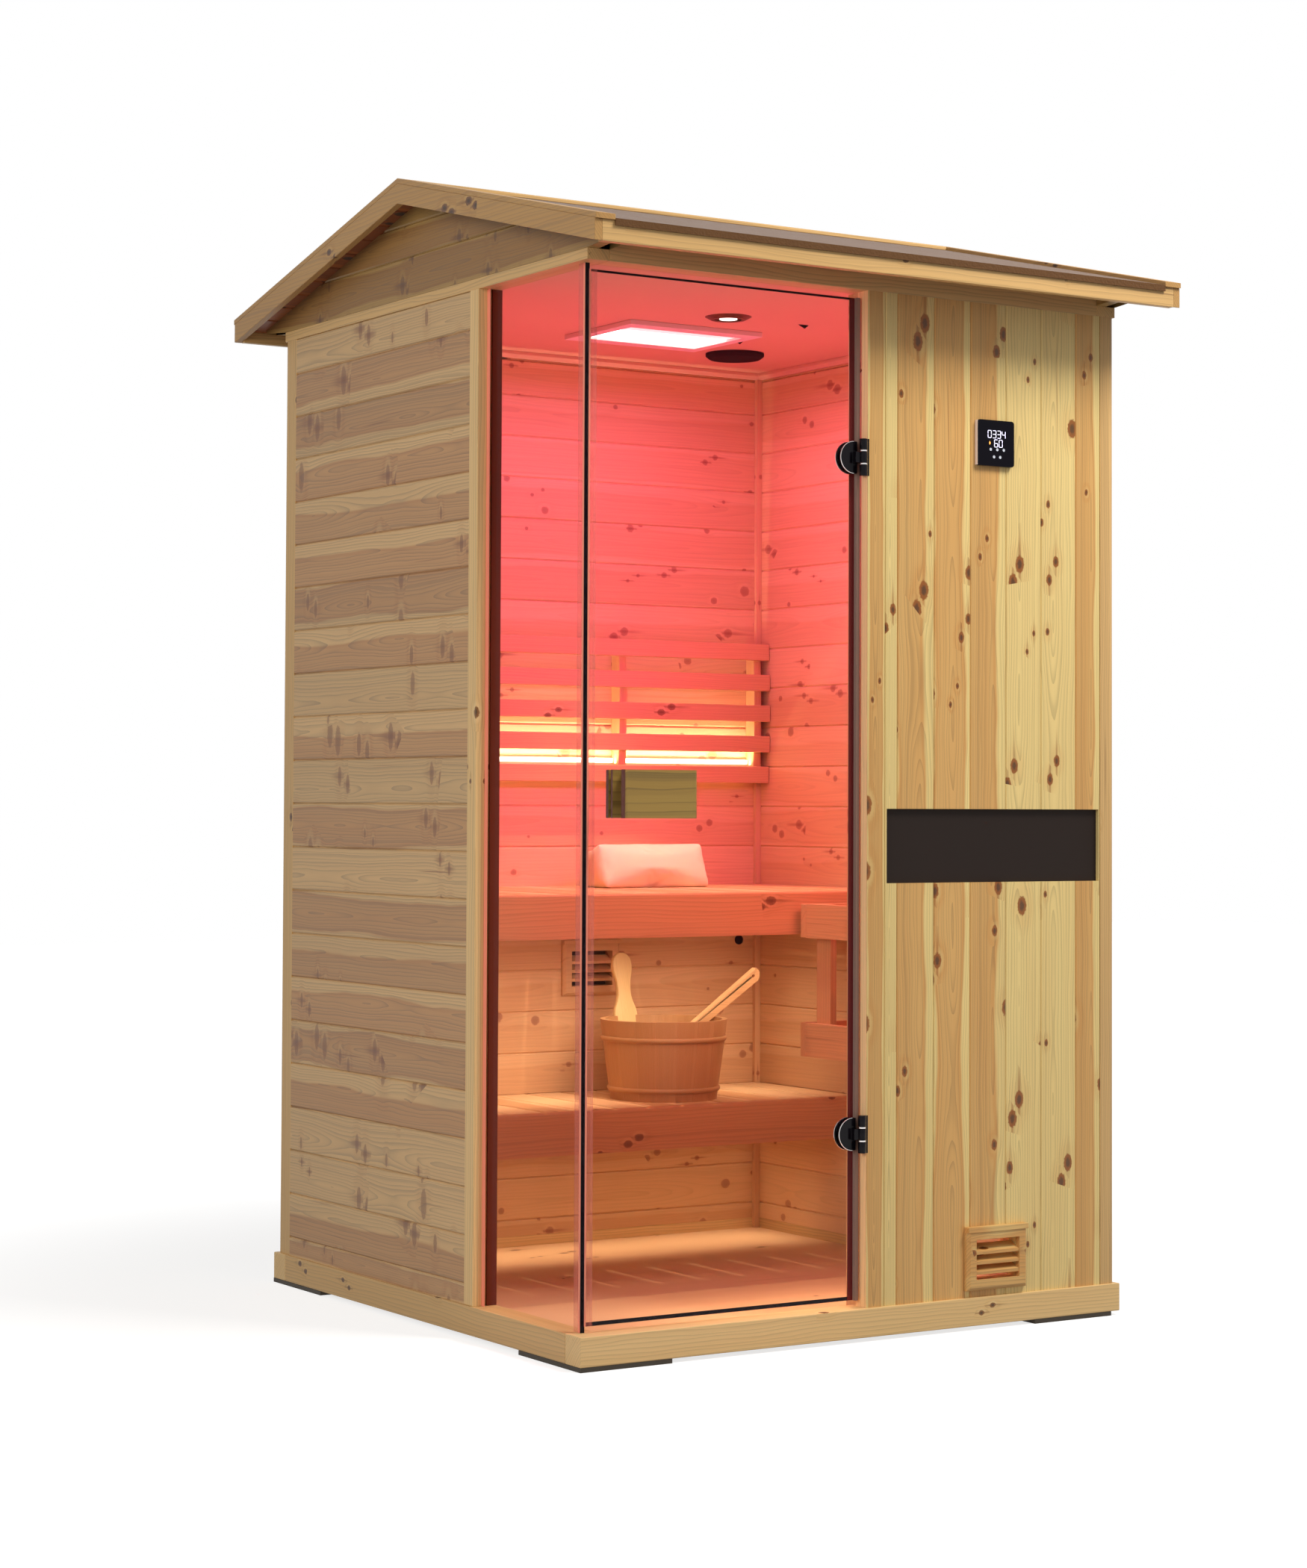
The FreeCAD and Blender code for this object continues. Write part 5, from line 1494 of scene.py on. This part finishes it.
@dataclass
class Fittings(Dressed):
    """Vents, control panel and the cable grommet.

    Attributes:
        digit: Width and height of a digit.
        stroke: Width of a digit's stroke.
        relief: Thickness of a stroke.
        advance: Distance of the digits in their widths.
        keys: Place of each key beside and above the panel's middle.
        key: Outer and inner radius of a key's ring, and its thickness.
        flame: Corners of the flame mark beside and above its middle.
        flame_left: Distance of its middle to the left of the panel's.
        flame_thick: Thickness of the mark.
        edge_back: Distance of the panel's pale edge behind its face.
        edge_short: How much shorter that edge is at each end.
        vent_shade: Front and back of the dark plate behind the back vent, painted shade of the gap inside the
            wall.
        hour_at: Left and low end of the upper number against the panel's middle.
        degree_at: Left and low end of the lower number against the panel's middle.
        grommet_at: Middle of the grommet's back.
        grommet: Outer and inner radius of the grommet, and its thickness.
    """

    digit: Pair = (0.0078, 0.0135)
    stroke: float = 0.0012
    relief: float = 0.0006
    advance: float = 1.42
    keys: tuple[Pair, ...] = ((-0.013, -0.012), (0.0026, -0.012), (0.018, -0.012),
                              (-0.0052, -0.0258), (0.0095, -0.0258))
    key: tuple[float, float, float] = (0.0028, 0.002, 0.0005)
    flame: tuple[Pair, ...] = ((0.0, -0.0035), (0.0016, -0.0012), (0.0013, 0.0012), (0.0, 0.0036),
                               (-0.0013, 0.0012), (-0.0016, -0.0012))
    flame_left: float = 0.0152
    flame_thick: float = 0.0005
    edge_back: float = 0.0008
    edge_short: float = 0.001
    vent_shade: Pair = (0.004, 0.007)
    hour_at: Pair = (-0.0195, 0.0098)
    degree_at: Pair = (-0.0043, -0.007)
    grommet_at: Point = (0.496, 0.548, 0.671)
    grommet: tuple[float, float, float] = (0.0105, 0.0065, 0.003)
    coats = (
        (FRONT_WALL, Grain.X, 0.0008, "front_vent"),
        (INNER_WALL, Grain.X, 0.0008, "back_vent"),
        (BLACK_GLASS, None, 0.0012, "control_panel"),
    )

    def number(self, text: str, left: float, low: float, face: float) -> list[Thing]:
        """Model a number from seven-segment strokes.

        Args:
            text: Digits.
            left: Left side of the first digit.
            low: Underside of the digits.
            face: Face that they lie on.

        Returns:
            The strokes.
        """
        wide, tall = self.digit
        half = self.stroke / 2
        strokes = []
        for index, letter in enumerate(text):
            x = left + index * wide * self.advance
            levels = {"a": low + tall, "g": low + tall / 2, "d": low}
            posts = {"b": (x + wide, 1), "c": (x + wide, 0), "e": (x, 0), "f": (x, 1)}
            for name in SEGMENTS[letter]:
                if name in levels:
                    across, rise = (x + half, x + wide - half), (levels[name] - half, levels[name] + half)
                else:
                    side, upper = posts[name]
                    z = low + upper * tall / 2
                    across, rise = (side - half, side + half), (z + half, z + tall / 2 - half)
                near = face - self.relief
                strokes.append(block(Span((across[0], near, rise[0]), (across[1], face, rise[1]))))
        return strokes

    def build(self) -> None:
        """Build the display of the control panel, the dark plate of painted shade behind the back vent, and
        the grommet.
        """
        panel, vent = Span.of("control_panel"), Span.of("back_vent")
        (side, face, foot), middle, thin = panel.low, panel.centre, self.relief
        strokes = []
        for text, (x, z) in (("0334", self.hour_at), ("60", self.degree_at)):
            strokes += self.number(text, middle.x + x, middle.z + z, face)
        declare("display_digits", strokes, finish(DIGIT_GLOW))
        rings = [ring(middle + Vector((x, face - middle.y, z)), *self.key) for x, z in self.keys]
        declare("display_keys", rings, finish(KEY_GLOW))
        points = [Vector((middle.x - self.flame_left + x, face, middle.z + z)) for x, z in self.flame]
        mark = outlined(points, Vector((0, -self.flame_thick, 0)))
        declare("display_flame", [mark], finish(FLAME_GLOW))
        short = self.edge_short
        edge = block(Span((side - thin, face + self.edge_back, foot + short),
                          (side, panel.high[1], panel.high[2] - short)))
        declare("control_panel_edge", [edge], finish(LAMP_FRAME))
        # Dark plate behind the back vent's opening: painted shade.
        (left, _, under), (right, back, over) = vent.low, vent.high
        near, far = self.vent_shade
        vent_shade = block(Span((left + Walls.border, back + near, under + Walls.border),
                             (right - Walls.border, back + far, over - Walls.border - Walls.lip)))
        declare("back_vent_painted_shade", [vent_shade], finish(VENT_SHADE_PAINT))
        grommet = ring(Vector(self.grommet_at), *self.grommet)
        declare("cable_grommet", [grommet], finish(SPEAKER_BLACK))


@dataclass
class Benches(Dressed):
    """Benches with slats, backrest and heater guard.

    Attributes:
        stock: Source of the boards.
        gap: Gap between slats.
        thick: Thickness of a slat.
        batten: Side of a batten.
        groove: Width of the chamfers of a slat and of a batten.
    """

    stock: Stock
    gap: float = 0.0085
    thick: float = 0.018
    batten: float = 0.04
    groove: Pair = (0.0016, 0.0012)
    coats = (
        (BENCH_WOOD, Grain.X, 0.0015, "backrest_boards"),
        (APRON_WOOD, Grain.X, 0.0015, "upper_bench_apron", "lower_bench_apron", "guard_back_rails"),
        (APRON_WOOD, Grain.Y, 0.0015, "guard_side_rails"),
        (BENCH_WOOD, Grain.Z, 0.001, "backrest_ribs"),
        (APRON_WOOD, Grain.Z, 0.0015, "guard_post"),
        (WARM_STRIP, None, 0.0, "light_strip"),
    )

    def deck(self, node: str, slats: int, seed: int) -> None:
        """Build the slats of one bench on their battens.

        Args:
            node: CAD node of the slats.
            slats: Number of slats.
            seed: Choice of their grain.
        """
        span = Span.of(node)
        wide = (span.size.x - (slats - 1) * self.gap) / slats
        plane = plane_of(Y, X, Z, span.high[2], 1)
        parts = []
        for index in range(slats):
            x = span.low[0] + wide / 2 + index * (wide + self.gap)
            place = plane @ Matrix.Translation((span.centre.y, x, 0.0))
            parts.append(self.stock.lay(span.size.y, wide, self.thick, place, seed + index, self.groove[0]))
        level = plane_of(X, Y, Z, span.high[2] - self.thick, 1)
        for index, y in enumerate((span.low[1] + self.batten / 2, span.high[1] - self.batten / 2)):
            place = level @ Matrix.Translation((0.0, y, 0.0))
            bar = self.stock.lay(span.size.x, self.batten, self.batten, place, seed + 50 + index,
                                 self.groove[1])
            parts.append(bar)
        declare(f"{node}_laid", parts, finish(BENCH_WOOD, Grain.BOARD), replaced=node)

    def build(self) -> None:
        """Build both benches."""
        self.deck("upper_bench_slats", 19, 401)
        self.deck("lower_bench_slats", 13, 433)


@dataclass
class Ceiling(Dressed):
    """Ceiling with its lamps, speaker and inner trims.

    Attributes:
        lens: Radius and thickness of the downlight's lens, and its height over the rim.
        clips: Place of each clip.
        clip: Half length, height and thickness of a clip, and the shift of its tip.
        ease: Rounding of the lens's rims and of a clip's edges.
    """

    lens: tuple[float, float, float] = (0.0175, 0.0028, 0.0022)
    clips: tuple[Pair, ...] = ((0.211, -0.1), (0.222, 0.147))
    clip: tuple[float, float, float, float] = (0.012, 0.007, 0.004, 0.003)
    ease: Pair = (0.0008, 0.0006)
    coats = (
        (CEILING_WOOD, Grain.X, 0.0, "ceiling_panel"),
        (CEILING_WOOD, Grain.X, 0.001, "ceiling_coves"),
        (INNER_WALL, Grain.Z, 0.001, "inner_corner_battens", "door_jamb_trim"),
        (LAMP_FRAME, None, 0.0012, "ceiling_lamp_frame"),
        (LAMP_LENS, None, 0.0, "ceiling_lamp_lens"),
        (LAMP_BRONZE, None, 0.0, "downlight"),
        (SPEAKER_BLACK, None, 0.0, "ceiling_speaker"),
    )

    def build(self) -> None:
        """Build the lens of the downlight and the clips beside the lamps."""
        spot = Span.of("downlight")
        radius, thick, rise = self.lens
        lens = cylinder(Vector((*spot.centre.xy, spot.low[2] + rise)), radius, thick, Z, 32, self.ease[0])
        smooth(lens)
        declare("downlight_lens", [lens], finish(SPOT_LENS))
        face = Span.of("ceiling_panel").low[2]
        half, tall, thick, tip = self.clip
        clips = []
        for x, y in self.clips:
            corners = ((x - half, face), (x + half, face), (x + tip, face - tall))
            points = [Vector((across, y, z)) for across, z in corners]
            clips.append(outlined(points, Vector((0, thick, 0)), self.ease[1]))
        declare("ceiling_clips", clips, finish(DARK_EDGE))


@dataclass
class Bucket:
    """Coopered bucket with two hoops and a taller stave as its grip.

    Attributes:
        stock: Source of the staves.
        centre: Middle along X and Y.
        foot: Outer radius at the foot.
        rim: Outer radius at the rim.
        rise: Height of the rim.
        wall: Thickness of a stave.
        floor: Height of the bottom's upper face.
        staves: Number of staves.
        hoops: Height of each hoop.
        hoop_half: Half of a hoop's height.
        hoop_proud: How far a hoop stands out.
        chamfer: Width of a stave's chamfer.
        tuck: How far the bottom reaches into the staves, and the height of its underside.
        bite: How far a hoop's edges lie inside the staves, and its back inside these.
        shift: Distance of the grip from the bucket's middle plane.
        inset: Distance of the grip inside the rim.
        grip_half: Height over the rim and half width of each step of the grip's outline.
        grip_ease: Rounding of its edges.
    """

    stock: Stock
    centre: Pair = (0.162, 0.331)
    foot: float = 0.111
    rim: float = 0.133
    rise: float = 0.165
    wall: float = 0.011
    floor: float = 0.014
    staves: int = 18
    hoops: Pair = (0.022, 0.126)
    hoop_half: float = 0.0055
    hoop_proud: float = 0.0045
    chamfer: float = 0.0005
    tuck: Pair = (0.001, 0.003)
    bite: Pair = (0.0004, 0.001)
    shift: float = 0.0185
    inset: float = 0.0025
    grip_half: tuple[Pair, ...] = (
        (-0.03, 0.029), (0.0, 0.031), (0.014, 0.0285), (0.028, 0.0215), (0.042, 0.0175), (0.058, 0.0175),
        (0.072, 0.019), (0.084, 0.0225), (0.094, 0.0252), (0.104, 0.026), (0.114, 0.0248), (0.122, 0.021),
        (0.128, 0.0145), (0.1315, 0.006))
    grip_ease: float = 0.0032

    def radius(self, height: float) -> float:
        """Outer radius at a height over the foot."""
        return self.foot + (self.rim - self.foot) * height / self.rise

    def stave(self, index: int, level: float) -> Thing:
        """Bend a board round the bucket.

        Args:
            index: Number of the stave.
            level: Height of the foot.

        Returns:
            The stave.
        """
        step = 2 * math.pi / self.staves
        wide = step * self.rim
        board = self.stock.lay(self.rise, wide, self.wall, Matrix.Identity(4), 601 + index, self.chamfer)
        cut_by([((0, side * wide / 6, 0), (0, 1, 0)) for side in (1, -1)], board, trim=False)
        for point in board.data.vertices:
            height = point.co.x + self.rise / 2
            angle = (index + point.co.y / wide) * step
            reach = self.radius(height) + point.co.z
            point.co = (self.centre[0] + reach * math.cos(angle), self.centre[1] + reach * math.sin(angle),
                        level + height)
        return board

    def bottom(self, level: float) -> Thing:
        """Cut the round bottom from a board.

        Args:
            level: Height of the foot.

        Returns:
            The bottom.
        """
        reach, under = self.tuck
        inside = self.radius(self.floor) - self.wall + reach
        place = Matrix.Translation((*self.centre, level + self.floor))
        disc = self.stock.lay(2 * inside, 2 * inside, self.floor - under, place, 640, 0.0)
        middle = Vector((*self.centre, level))
        ways = [Matrix.Rotation(turn * math.pi / 6, 3, "Z") @ Vector((1, 0, 0)) for turn in range(12)]
        cut_by([(middle + way * inside, way) for way in ways], disc)
        return disc

    def hoop(self, height: float, level: float) -> Thing:
        """Turn a half-round hoop.

        Args:
            height: Height over the foot.
            level: Height of the foot.

        Returns:
            The hoop.
        """
        profile = []
        edge, back = self.bite
        for step in range(9):
            angle = math.pi * step / 8
            here = height - self.hoop_half * math.cos(angle)
            profile.append((self.radius(here) - edge + self.hoop_proud * math.sin(angle), here))
        profile.append((profile[0][0] - back, profile[0][1]))
        return spun(profile, (*self.centre, level), 64)

    def grip(self, level: float) -> Thing:
        """Model the tall stave with its club-shaped top.

        Args:
            level: Height of the foot.

        Returns:
            The stave.
        """
        points = [Vector((-wide, 0, height)) for height, wide in self.grip_half]
        points += [Vector((wide, 0, height)) for height, wide in reversed(self.grip_half)]
        made = outlined(points, Vector((0, -self.wall, 0)), self.grip_ease)
        lean = math.atan((self.rim - self.foot) / self.rise)
        reach = self.rim - self.inset
        swing = math.asin(self.shift / reach)
        place = Matrix.Translation((self.centre[0] - self.shift, self.centre[1] + math.cos(swing) * reach,
                                    level + self.rise))
        made.data.transform(place @ Matrix.Rotation(swing, 4, "Z") @ Matrix.Rotation(-lean, 4, "X"))
        smooth(made)
        return made

    def build(self) -> None:
        """Build the whole bucket."""
        level = Span.of("bucket").low[2]
        parts = [self.stave(index, level) for index in range(self.staves)] + [self.bottom(level)]
        parts = [cover(part, finish(BUCKET_WOOD, Grain.BOARD)) for part in parts]
        parts += [cover(self.hoop(height, level), finish(BUCKET_WOOD, Grain.X)) for height in self.hoops]
        parts.append(cover(self.grip(level), finish(PALE_WOOD, Grain.Z)))
        declare("bucket_staves", parts, replaced="bucket")


class Ladle(Dressed):
    """Wooden ladle that leans on the bucket's rim."""

    coats = ((BENCH_WOOD, Grain.X, 0.003, "ladle"),)


@dataclass
class Pillow:
    """Padded wedge on the upper bench.

    Attributes:
        lip: Height of the wedge's thin side.
        lean: Depth of its slope.
        fall: Drop of its back.
        inset: Distance of the wedge from its cover's room.
        ease: Rounding of the edges at its ends.
        voxel: Size of its mesh's faces.
        frames: Length of the cloth simulation.
        pressure: Pressure inside the cover.
    """

    lip: float = 0.012
    lean: float = 0.036
    fall: float = 0.032
    inset: float = 0.004
    ease: float = 0.004
    voxel: float = 0.006
    frames: int = 20
    pressure: float = 1.6

    def build(self) -> None:
        """Model the wedge and let its cover swell within its room."""
        span, inset = Span.of("pillow"), self.inset
        low, high = Vector(span.low), Vector(span.high)
        front, back, top = low.y + inset, high.y - inset, high.z
        corners = [(front, low.z), (back, low.z), (back, top - self.fall), (low.y + self.lean, top - inset),
                   (front, low.z + self.lip)]
        points = [Vector((low.x + inset, y, z)) for y, z in corners]
        piece = outlined(points, Vector((span.size.x - 2 * inset, 0, 0)), self.ease)
        activate(piece)
        remesh = piece.modifiers.new("even", "REMESH")
        remesh.mode = "VOXEL"
        remesh.voxel_size = self.voxel
        bpy.ops.object.modifier_apply(modifier=remesh.name)
        self.swell(piece)
        for point in piece.data.vertices:
            room = [(low.x - inset, high.x + inset), (low.y - inset, high.y + inset), (low.z, high.z + inset)]
            point.co = Vector(min(max(value, least), most) for value, (least, most) in zip(point.co, room))
        soften = piece.modifiers.new("soften", "SUBSURF")
        soften.levels = 1
        bpy.ops.object.modifier_apply(modifier=soften.name)
        smooth(piece, 80)
        declare("pillow_cover", [piece], finish(PILLOW_CLOTH), replaced="pillow")

    def swell(self, piece: Thing) -> None:
        """Blow up the cover in a short cloth simulation.

        Args:
            piece: The cover.
        """
        cloth = piece.modifiers.new("swell", "CLOTH")
        cloth.settings.use_pressure = True
        cloth.settings.uniform_pressure_force = self.pressure
        cloth.settings.effector_weights.gravity = 0.0
        scene = bpy.context.scene
        for number in range(1, self.frames + 1):
            scene.frame_set(number)
        bpy.ops.object.modifier_apply(modifier=cloth.name)
        scene.frame_set(1)


@dataclass(frozen=True)
class Lamp:
    """Light that no ray sees directly.

    Attributes:
        name: Name of the light.
        place: Its place.
        aim: Point that it looks at.
        size: Width and height of an area light, or nothing for a small spotlight.
        power: Power in watts.
        colour: Colour of its light.
        spread: Full angle that its light fills in degrees.
    """

    name: str
    place: Point
    aim: Point
    size: Pair | None
    power: float
    colour: Colour
    spread: float = 180.0

    def hang(self) -> None:
        """Put the light in its place."""
        data = bpy.data.lights.new(self.name, "AREA" if self.size else "SPOT")
        if self.size:
            data.shape = "RECTANGLE"
            data.spread = math.radians(self.spread)
            data.size, data.size_y = self.size
        else:
            data.spot_size = math.radians(self.spread)
            data.spot_blend = 0.5
            data.shadow_soft_size = 0.005
        data.energy = self.power
        data.color = self.colour
        light = bpy.data.objects.new(self.name, data)
        bpy.context.scene.collection.objects.link(light)
        light.location = self.place
        light.rotation_mode = "QUATERNION"
        light.rotation_quaternion = (Vector(self.aim) - Vector(self.place)).to_track_quat("-Z", "Y")
        light.visible_camera = False
        light.visible_glossy = False
        light.visible_transmission = False


LAMPS = (
    Lamp("key", (1.5, -2.5, 4.3), (0.3, -0.5, 1.1), (1.4, 1.4), 166, (1.0, 0.97, 0.92)),
    Lamp("fill", (-4.6, -2.2, 2.4), (0.0, 0.0, 1.0), (2.6, 2.6), 102, (1.0, 0.96, 0.9)),
    Lamp("red_down", (0.0, 0.02, 1.88), (0.0, 0.0, 0.0), (0.7, 0.7), 5.9, (1.0, 0.135, 0.62)),
    Lamp("red_up", (0.0, -0.05, 1.2), (0.0, 0.0, 2.0), (0.8, 0.8), 3.6, (1.0, 0.18, 0.48)),
    Lamp("red_front", (0.0, -0.46, 1.1), (0.0, 0.0, 0.78), (0.9, 0.2), 0.6, (1.0, 0.3, 0.3), 46),
    Lamp("red_back", (0.0, -0.3, 1.3), (0.0, 0.548, 0.98), (0.8, 0.1), 1.0, (1.0, 0.17, 0.55), 56),
    Lamp("lamp_spot", (0.042, 0.185, 1.905), (0.042, 0.1, 0.0), None, 36, (1.0, 0.78, 0.58), 56),
    Lamp("spot_beam", (0.03, -0.099, 1.905), (0.03, -0.02, 0.0), None, 6, (1.0, 0.74, 0.55), 82),
    Lamp("floor_wash", (0.0, -0.4, 0.6), (0.0, -0.42, 0.0), (0.6, 0.1), 0.7, (1.0, 0.72, 0.5), 50),
    Lamp("under_bench", (0.0, 0.16, 0.69), (0.0, 0.56, 0.3), (1.0, 0.2), 1.25, (1.0, 0.8, 0.62), 84),
    Lamp("slat_wash", (0.0, 0.37, 0.69), (0.0, 0.38, 0.0), (1.0, 0.12), 0.62, (1.0, 0.86, 0.66), 80),
    Lamp("under_lower", (0.0, 0.425, 0.262), (0.0, 0.425, 0.0), (1.06, 0.22), 1.1, (1.0, 0.8, 0.56), 60),
    Lamp("behind_backrest", (0.0, 0.531, 1.056), (0.0, 0.545, 1.4), (1.04, 0.008), 2.3, (1.0, 0.86, 0.64),
         130),
)


# Height of the photograph in pixels

FRAME_HEIGHT = 2100


@dataclass
class Studio:
    """Floor, world, lights and camera.

    Attributes:
        eye: Place of the camera.
        yaw: Turn to the right of the +Y direction in degrees.
        pitch: Tilt upwards in degrees.
        roll: Roll in degrees.
        sensor: Width of the sensor in millimetres.
        lens: Focal length in millimetres.
        shift: Vertical shift of the view as a share of its height.
        daylight: Colour of the world's light.
        dimness: Strength of the world's light.
        greys: Grey of the floor for the light that it throws back, and for the camera.
        fade: Distances from the middle between which the floor's own glow rises.
        glow: Strength of that glow there.
    """

    eye: Point = (-3.388, -5.207, 0.968)
    yaw: float = 32.45
    pitch: float = 1.866
    roll: float = 0.249
    sensor: float = 36.0
    lens: float = 36 * 4211 / FRAME_HEIGHT
    shift: float = -109.8 / FRAME_HEIGHT
    daylight: Colour = (1.0, 0.98, 0.95)
    dimness: float = 0.25
    greys: Pair = (0.34, 0.42)
    fade: Pair = (1.0, 2.6)
    glow: Pair = (0.74, 1.0)

    def camera(self) -> None:
        """Place the camera."""
        data = bpy.data.cameras.new("camera")
        data.sensor_width = self.sensor
        data.lens = self.lens
        data.shift_y = self.shift
        data.clip_end = 100.0
        camera = bpy.data.objects.new("camera", data)
        bpy.context.scene.collection.objects.link(camera)
        yaw, pitch, roll = (math.radians(value) for value in (self.yaw, self.pitch, self.roll))
        turn = Matrix.Rotation(-yaw, 4, "Z") @ Matrix.Rotation(math.pi / 2 + pitch, 4, "X")
        camera.matrix_world = Matrix.Translation(self.eye) @ turn @ Matrix.Rotation(roll, 4, "Z")
        bpy.context.scene.camera = camera

    def world(self) -> None:
        """Show white to the camera and give pale light to everything else."""
        graph = Graph("studio", "worlds")
        lit = graph.add("Background", {"Color": self.daylight, "Strength": self.dimness}).outputs[0]
        white = graph.add("Background", {"Color": WHITE}).outputs[0]
        bpy.context.scene.world = graph.end(graph.blend(graph.seen(), lit, white), "OutputWorld")

    def floor(self) -> None:
        """Lay the pale floor, which shows white to the camera."""
        bpy.ops.object.select_all(action="DESELECT")
        bpy.ops.mesh.primitive_plane_add(size=30.0)
        plane = settle("floor_of_studio")
        graph = Graph("studio_floor")
        pale, lit = (
            graph.add("BsdfDiffuse", {"Color": (grey, grey, grey)}).outputs[0] for grey in self.greys)
        away = graph.add("VectorMath", {0: graph.place()}, operation="LENGTH").outputs["Value"]
        level = graph.band(away, *self.fade, *self.glow)
        glow = graph.add("Emission", {"Color": WHITE, "Strength": level}).outputs[0]
        white = graph.add("AddShader", {0: glow, 1: lit}).outputs[0]
        cover(plane, graph.end(graph.blend(graph.seen(), pale, white)))
        plane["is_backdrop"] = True

    def build(self) -> None:
        """Set the whole stage."""
        bpy.context.scene.view_settings.view_transform = "Standard"
        self.camera()
        self.world()
        self.floor()
        for lamp in LAMPS:
            lamp.hang()


def write_bounds(name: str, rows: dict[str, list]) -> None:
    """Keep the object's extents in a table.

    Args:
        name: Key of the extents.
        rows: Extents so far, which the new ones join.
    """
    low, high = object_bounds()
    rows[name] = [list(low), list(high)]


def main() -> None:
    """Build the cabin and its stage."""
    logging.basicConfig(level=logging.INFO, format="%(message)s")
    rows: dict[str, list] = {}
    write_bounds("loaded", rows)
    stock = Stock()
    Base().dress()
    for part in (Walls(stock), Roof(stock), Glazing(), Fittings(), Benches(stock), Ceiling()):
        part.build()
        part.dress()
    Bucket(stock).build()
    Ladle().dress()
    Pillow().build()
    Studio().build()
    write_bounds("finished", rows)


if __name__ == "__main__":
    main()
